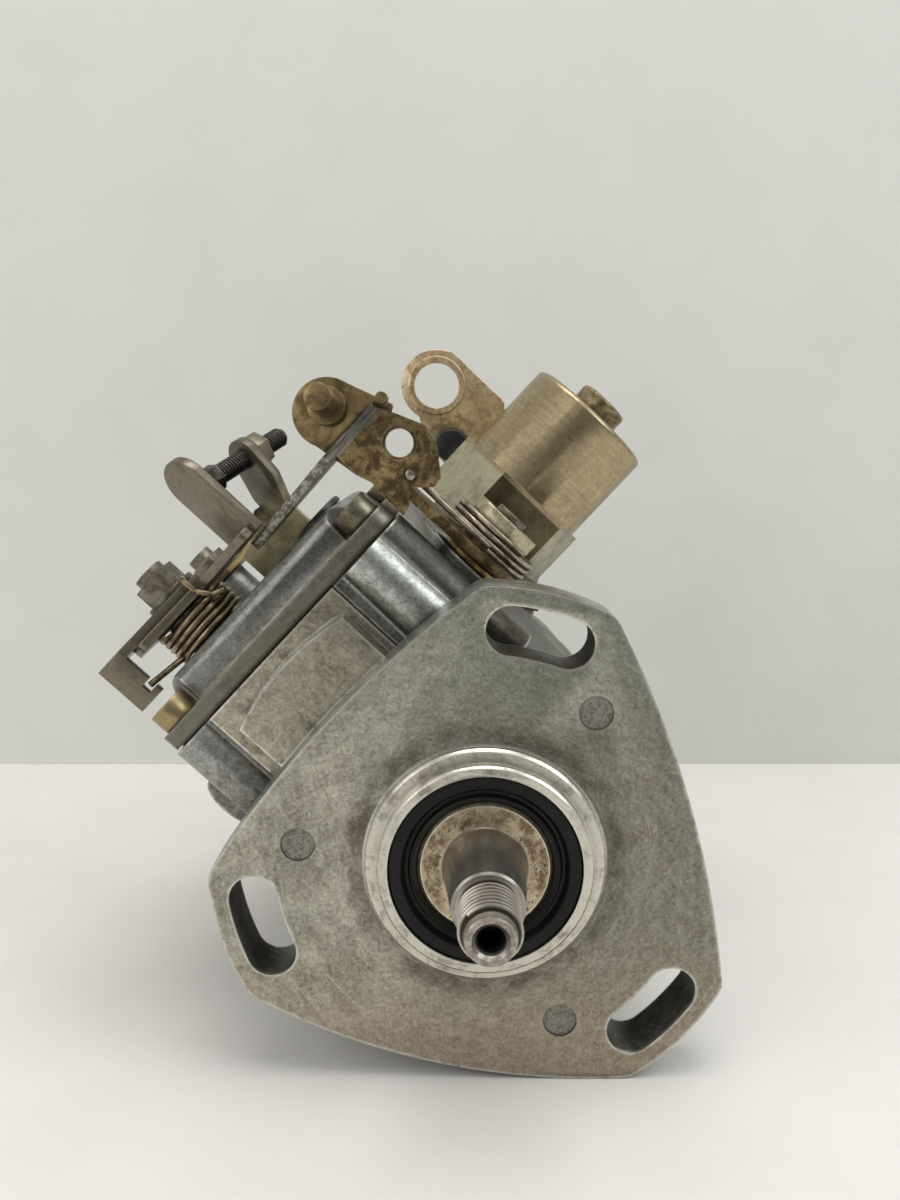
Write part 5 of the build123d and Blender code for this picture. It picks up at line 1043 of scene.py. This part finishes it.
class PUMP_OT_solenoid(bpy.types.Operator):
    """Round the edges of the stop solenoid and its terminal"""

    bl_idname = "pump.solenoid"
    bl_label = "Stop solenoid"

    def execute(self, context):
        dressed("solenoid_body", "can", 0.45 * MM)
        dressed("solenoid_terminal", "resin", 0.4 * MM)
        return {"FINISHED"}


class PUMP_OT_fasteners(bpy.types.Operator):
    """Make the screws, nuts and bolts"""

    bl_idname = "pump.fasteners"
    bl_label = "Fasteners"

    def execute(self, context):
        for node, finish in (
            ("cover_screws", "cover_bolt"), ("hex_bolts", "dark_bolt"), ("end_plate_screws", "pale_zinc"),
            ("spindle_nut", "dark_bolt"), ("fast_idle_nut", "idle_nut"), ("bracket_screw", "dark_bolt"),
            ("stop_screw_nut", "lever"), ("advance_caps", "pale_zinc"), ("clip_screw", "plastic"),
            ("cover_plug", "plastic"), ("outlet_unions", "dark_bolt"), ("inlet_union", "gold_zinc"),
            ("return_union", "gold_zinc"), ("throttle_spindle", "dark_bolt"), ("stop_spindle", "dark_bolt"),
            ("fast_idle_shaft", "dark_bolt"), ("fast_idle_bush", "bronze"),
        ):
            dressed(node, finish, 0.3 * MM)
        return {"FINISHED"}


class PUMP_OT_stop_screw(bpy.types.Operator):
    """Make the threaded stop screw"""

    bl_idname = "pump.stop_screw"
    bl_label = "Stop screw"

    def execute(self, context):
        along = STOP_DIRECTION
        tip = at(11.2, 43.2, 99.5)
        pitch = sizes().stop_pitch / MM
        core = bar("stop_core", tip, tip + along * STOP_LENGTH * MM, STOP_THREAD[0])
        tooth = thread_section(*STOP_THREAD, pitch)
        thread = wound("stop_thread", tooth, pitch, STOP_TURNS, tip + along * 1.2 * MM, along, UP, steps=24)
        profile = [(0.3, 0), (0.3, 1.3), (0.9, 2.6), (1.9, 3.3), (4.0, 3.5), (4.3, 3.2), (4.3, 0)]
        tip_nut = lathe("stop_tip", profile, tip, along, steps=6)
        screw = joined([core, thread, tip_nut])
        finished(screw, "stop_screw_piece", "dark_thread", "housing", "zinc_pale", "stop_screw")
        return {"FINISHED"}


class PUMP_OT_inner_works(bpy.types.Operator):
    """Paint the governor, pumping and transfer pieces inside"""

    bl_idname = "pump.inner_works"
    bl_label = "Inner works"

    def execute(self, context):
        inside = {
            "shaft_bush": "bronze", "weight_cage": "ground", "thrust_sleeve": "ground", "governor_arm": "pale_zinc",
            "governor_pivot": "ground", "linkage_rod": "ground", "metering_valve": "ground",
            "distributor_rotor": "ground", "pumping_plunger_a": "ground", "pumping_plunger_b": "ground",
            "roller_shoe_a": "ground", "roller_shoe_b": "ground", "cam_ring": "ground", "advance_pin": "ground",
            "advance_piston": "ground", "transfer_liner": "ground", "transfer_rotor": "ground",
            "transfer_blades": "ground", "solenoid_plunger": "ground",
            "governor_weight_1": "lever", "governor_weight_2": "lever", "governor_weight_3": "lever",
            "governor_weight_4": "lever",
        }
        for node, finish in inside.items():
            repaint(node, finish)
        return {"FINISHED"}


class PUMP_OT_stage(bpy.types.Operator):
    """Set the bench, the wall, the lamps and the camera"""

    bl_idname = "pump.stage"
    bl_label = "Stage"

    def execute(self, context):
        low = CAD_BOX[0].z
        bench = (ROOM_WIDTH, ROOM_WIDTH)
        sheet("bench", (0, 0, low), (0, 0, 0), bench, colours().floor, 0.45, one_sided=False)
        middle = (0, WALL_DISTANCE, low + WALL_HEIGHT / 2)
        upright = (math.radians(90), 0, 0)
        sheet("wall", middle, upright, (ROOM_WIDTH, WALL_HEIGHT), colours().wall, 0.7, one_sided=True)
        # name, place, aim, size, power, colour
        for row in (
            ("ceiling_lamp", (0.05, 0.0, 1.25), (0, 0.02, 0), (1.0, 0.8), 9.0, (1.0, 0.99, 0.96)),
            ("window_lamp", (0.85, -0.35, 0.75), (0, 0.05, 0), (0.6, 0.6), 3.3, (0.97, 1.0, 1.0)),
            ("fill_lamp", (-0.8, -0.7, 0.5), (0, 0.05, 0), (0.8, 0.8), 3.6, (1.0, 0.98, 0.95)),
        ):
            lamp(*row)
        room_light()
        data = bpy.data.cameras.new("camera")
        data.lens = CAMERA_LENS
        data.sensor_width = CAMERA_SENSOR
        data.clip_start = 0.01
        camera = bpy.data.objects.new("camera", data)
        context.scene.collection.objects.link(camera)
        camera.location = CAMERA_PLACE
        camera.rotation_euler = (math.radians(90 - CAMERA_TILT), 0, math.radians(CAMERA_TURN))
        context.scene.camera = camera
        context.scene.view_settings.view_transform = "Standard"
        return {"FINISHED"}


MAKERS = (
    PUMP_OT_castings, PUMP_OT_sheet_metal, PUMP_OT_drive_shaft, PUMP_OT_shaft_seal, PUMP_OT_springs,
    PUMP_OT_solenoid, PUMP_OT_fasteners, PUMP_OT_stop_screw, PUMP_OT_inner_works, PUMP_OT_stage,
)


class PUMP_PT_panel(bpy.types.Panel):
    """Lists the pump's pieces"""

    bl_idname = "PUMP_PT_panel"
    bl_label = "Injection pump"
    bl_space_type = "VIEW_3D"
    bl_region_type = "UI"
    bl_category = "Pump"

    def draw(self, context):
        for maker in MAKERS:
            self.layout.operator(maker.bl_idname)
        for group in (context.scene.pump_sizes, context.scene.pump_colours):
            for name in group.__annotations__:
                self.layout.prop(group, name)


CLASSES = (PumpSizes, PumpColours, *MAKERS, PUMP_PT_panel)


def register():
    """Registers the classes and the scene's settings."""
    for item in CLASSES:
        bpy.utils.register_class(item)
    bpy.types.Scene.pump_sizes = PointerProperty(type=PumpSizes)
    bpy.types.Scene.pump_colours = PointerProperty(type=PumpColours)


def unregister():
    """Takes the classes and settings out again."""
    del bpy.types.Scene.pump_sizes
    del bpy.types.Scene.pump_colours
    for item in reversed(CLASSES):
        bpy.utils.unregister_class(item)


def main():
    """Makes the whole pump and its stage."""
    register()
    make_finishes()
    for maker in MAKERS:
        family, name = maker.bl_idname.split(".")
        getattr(getattr(bpy.ops, family), name)()


if __name__ == "__main__":
    main()
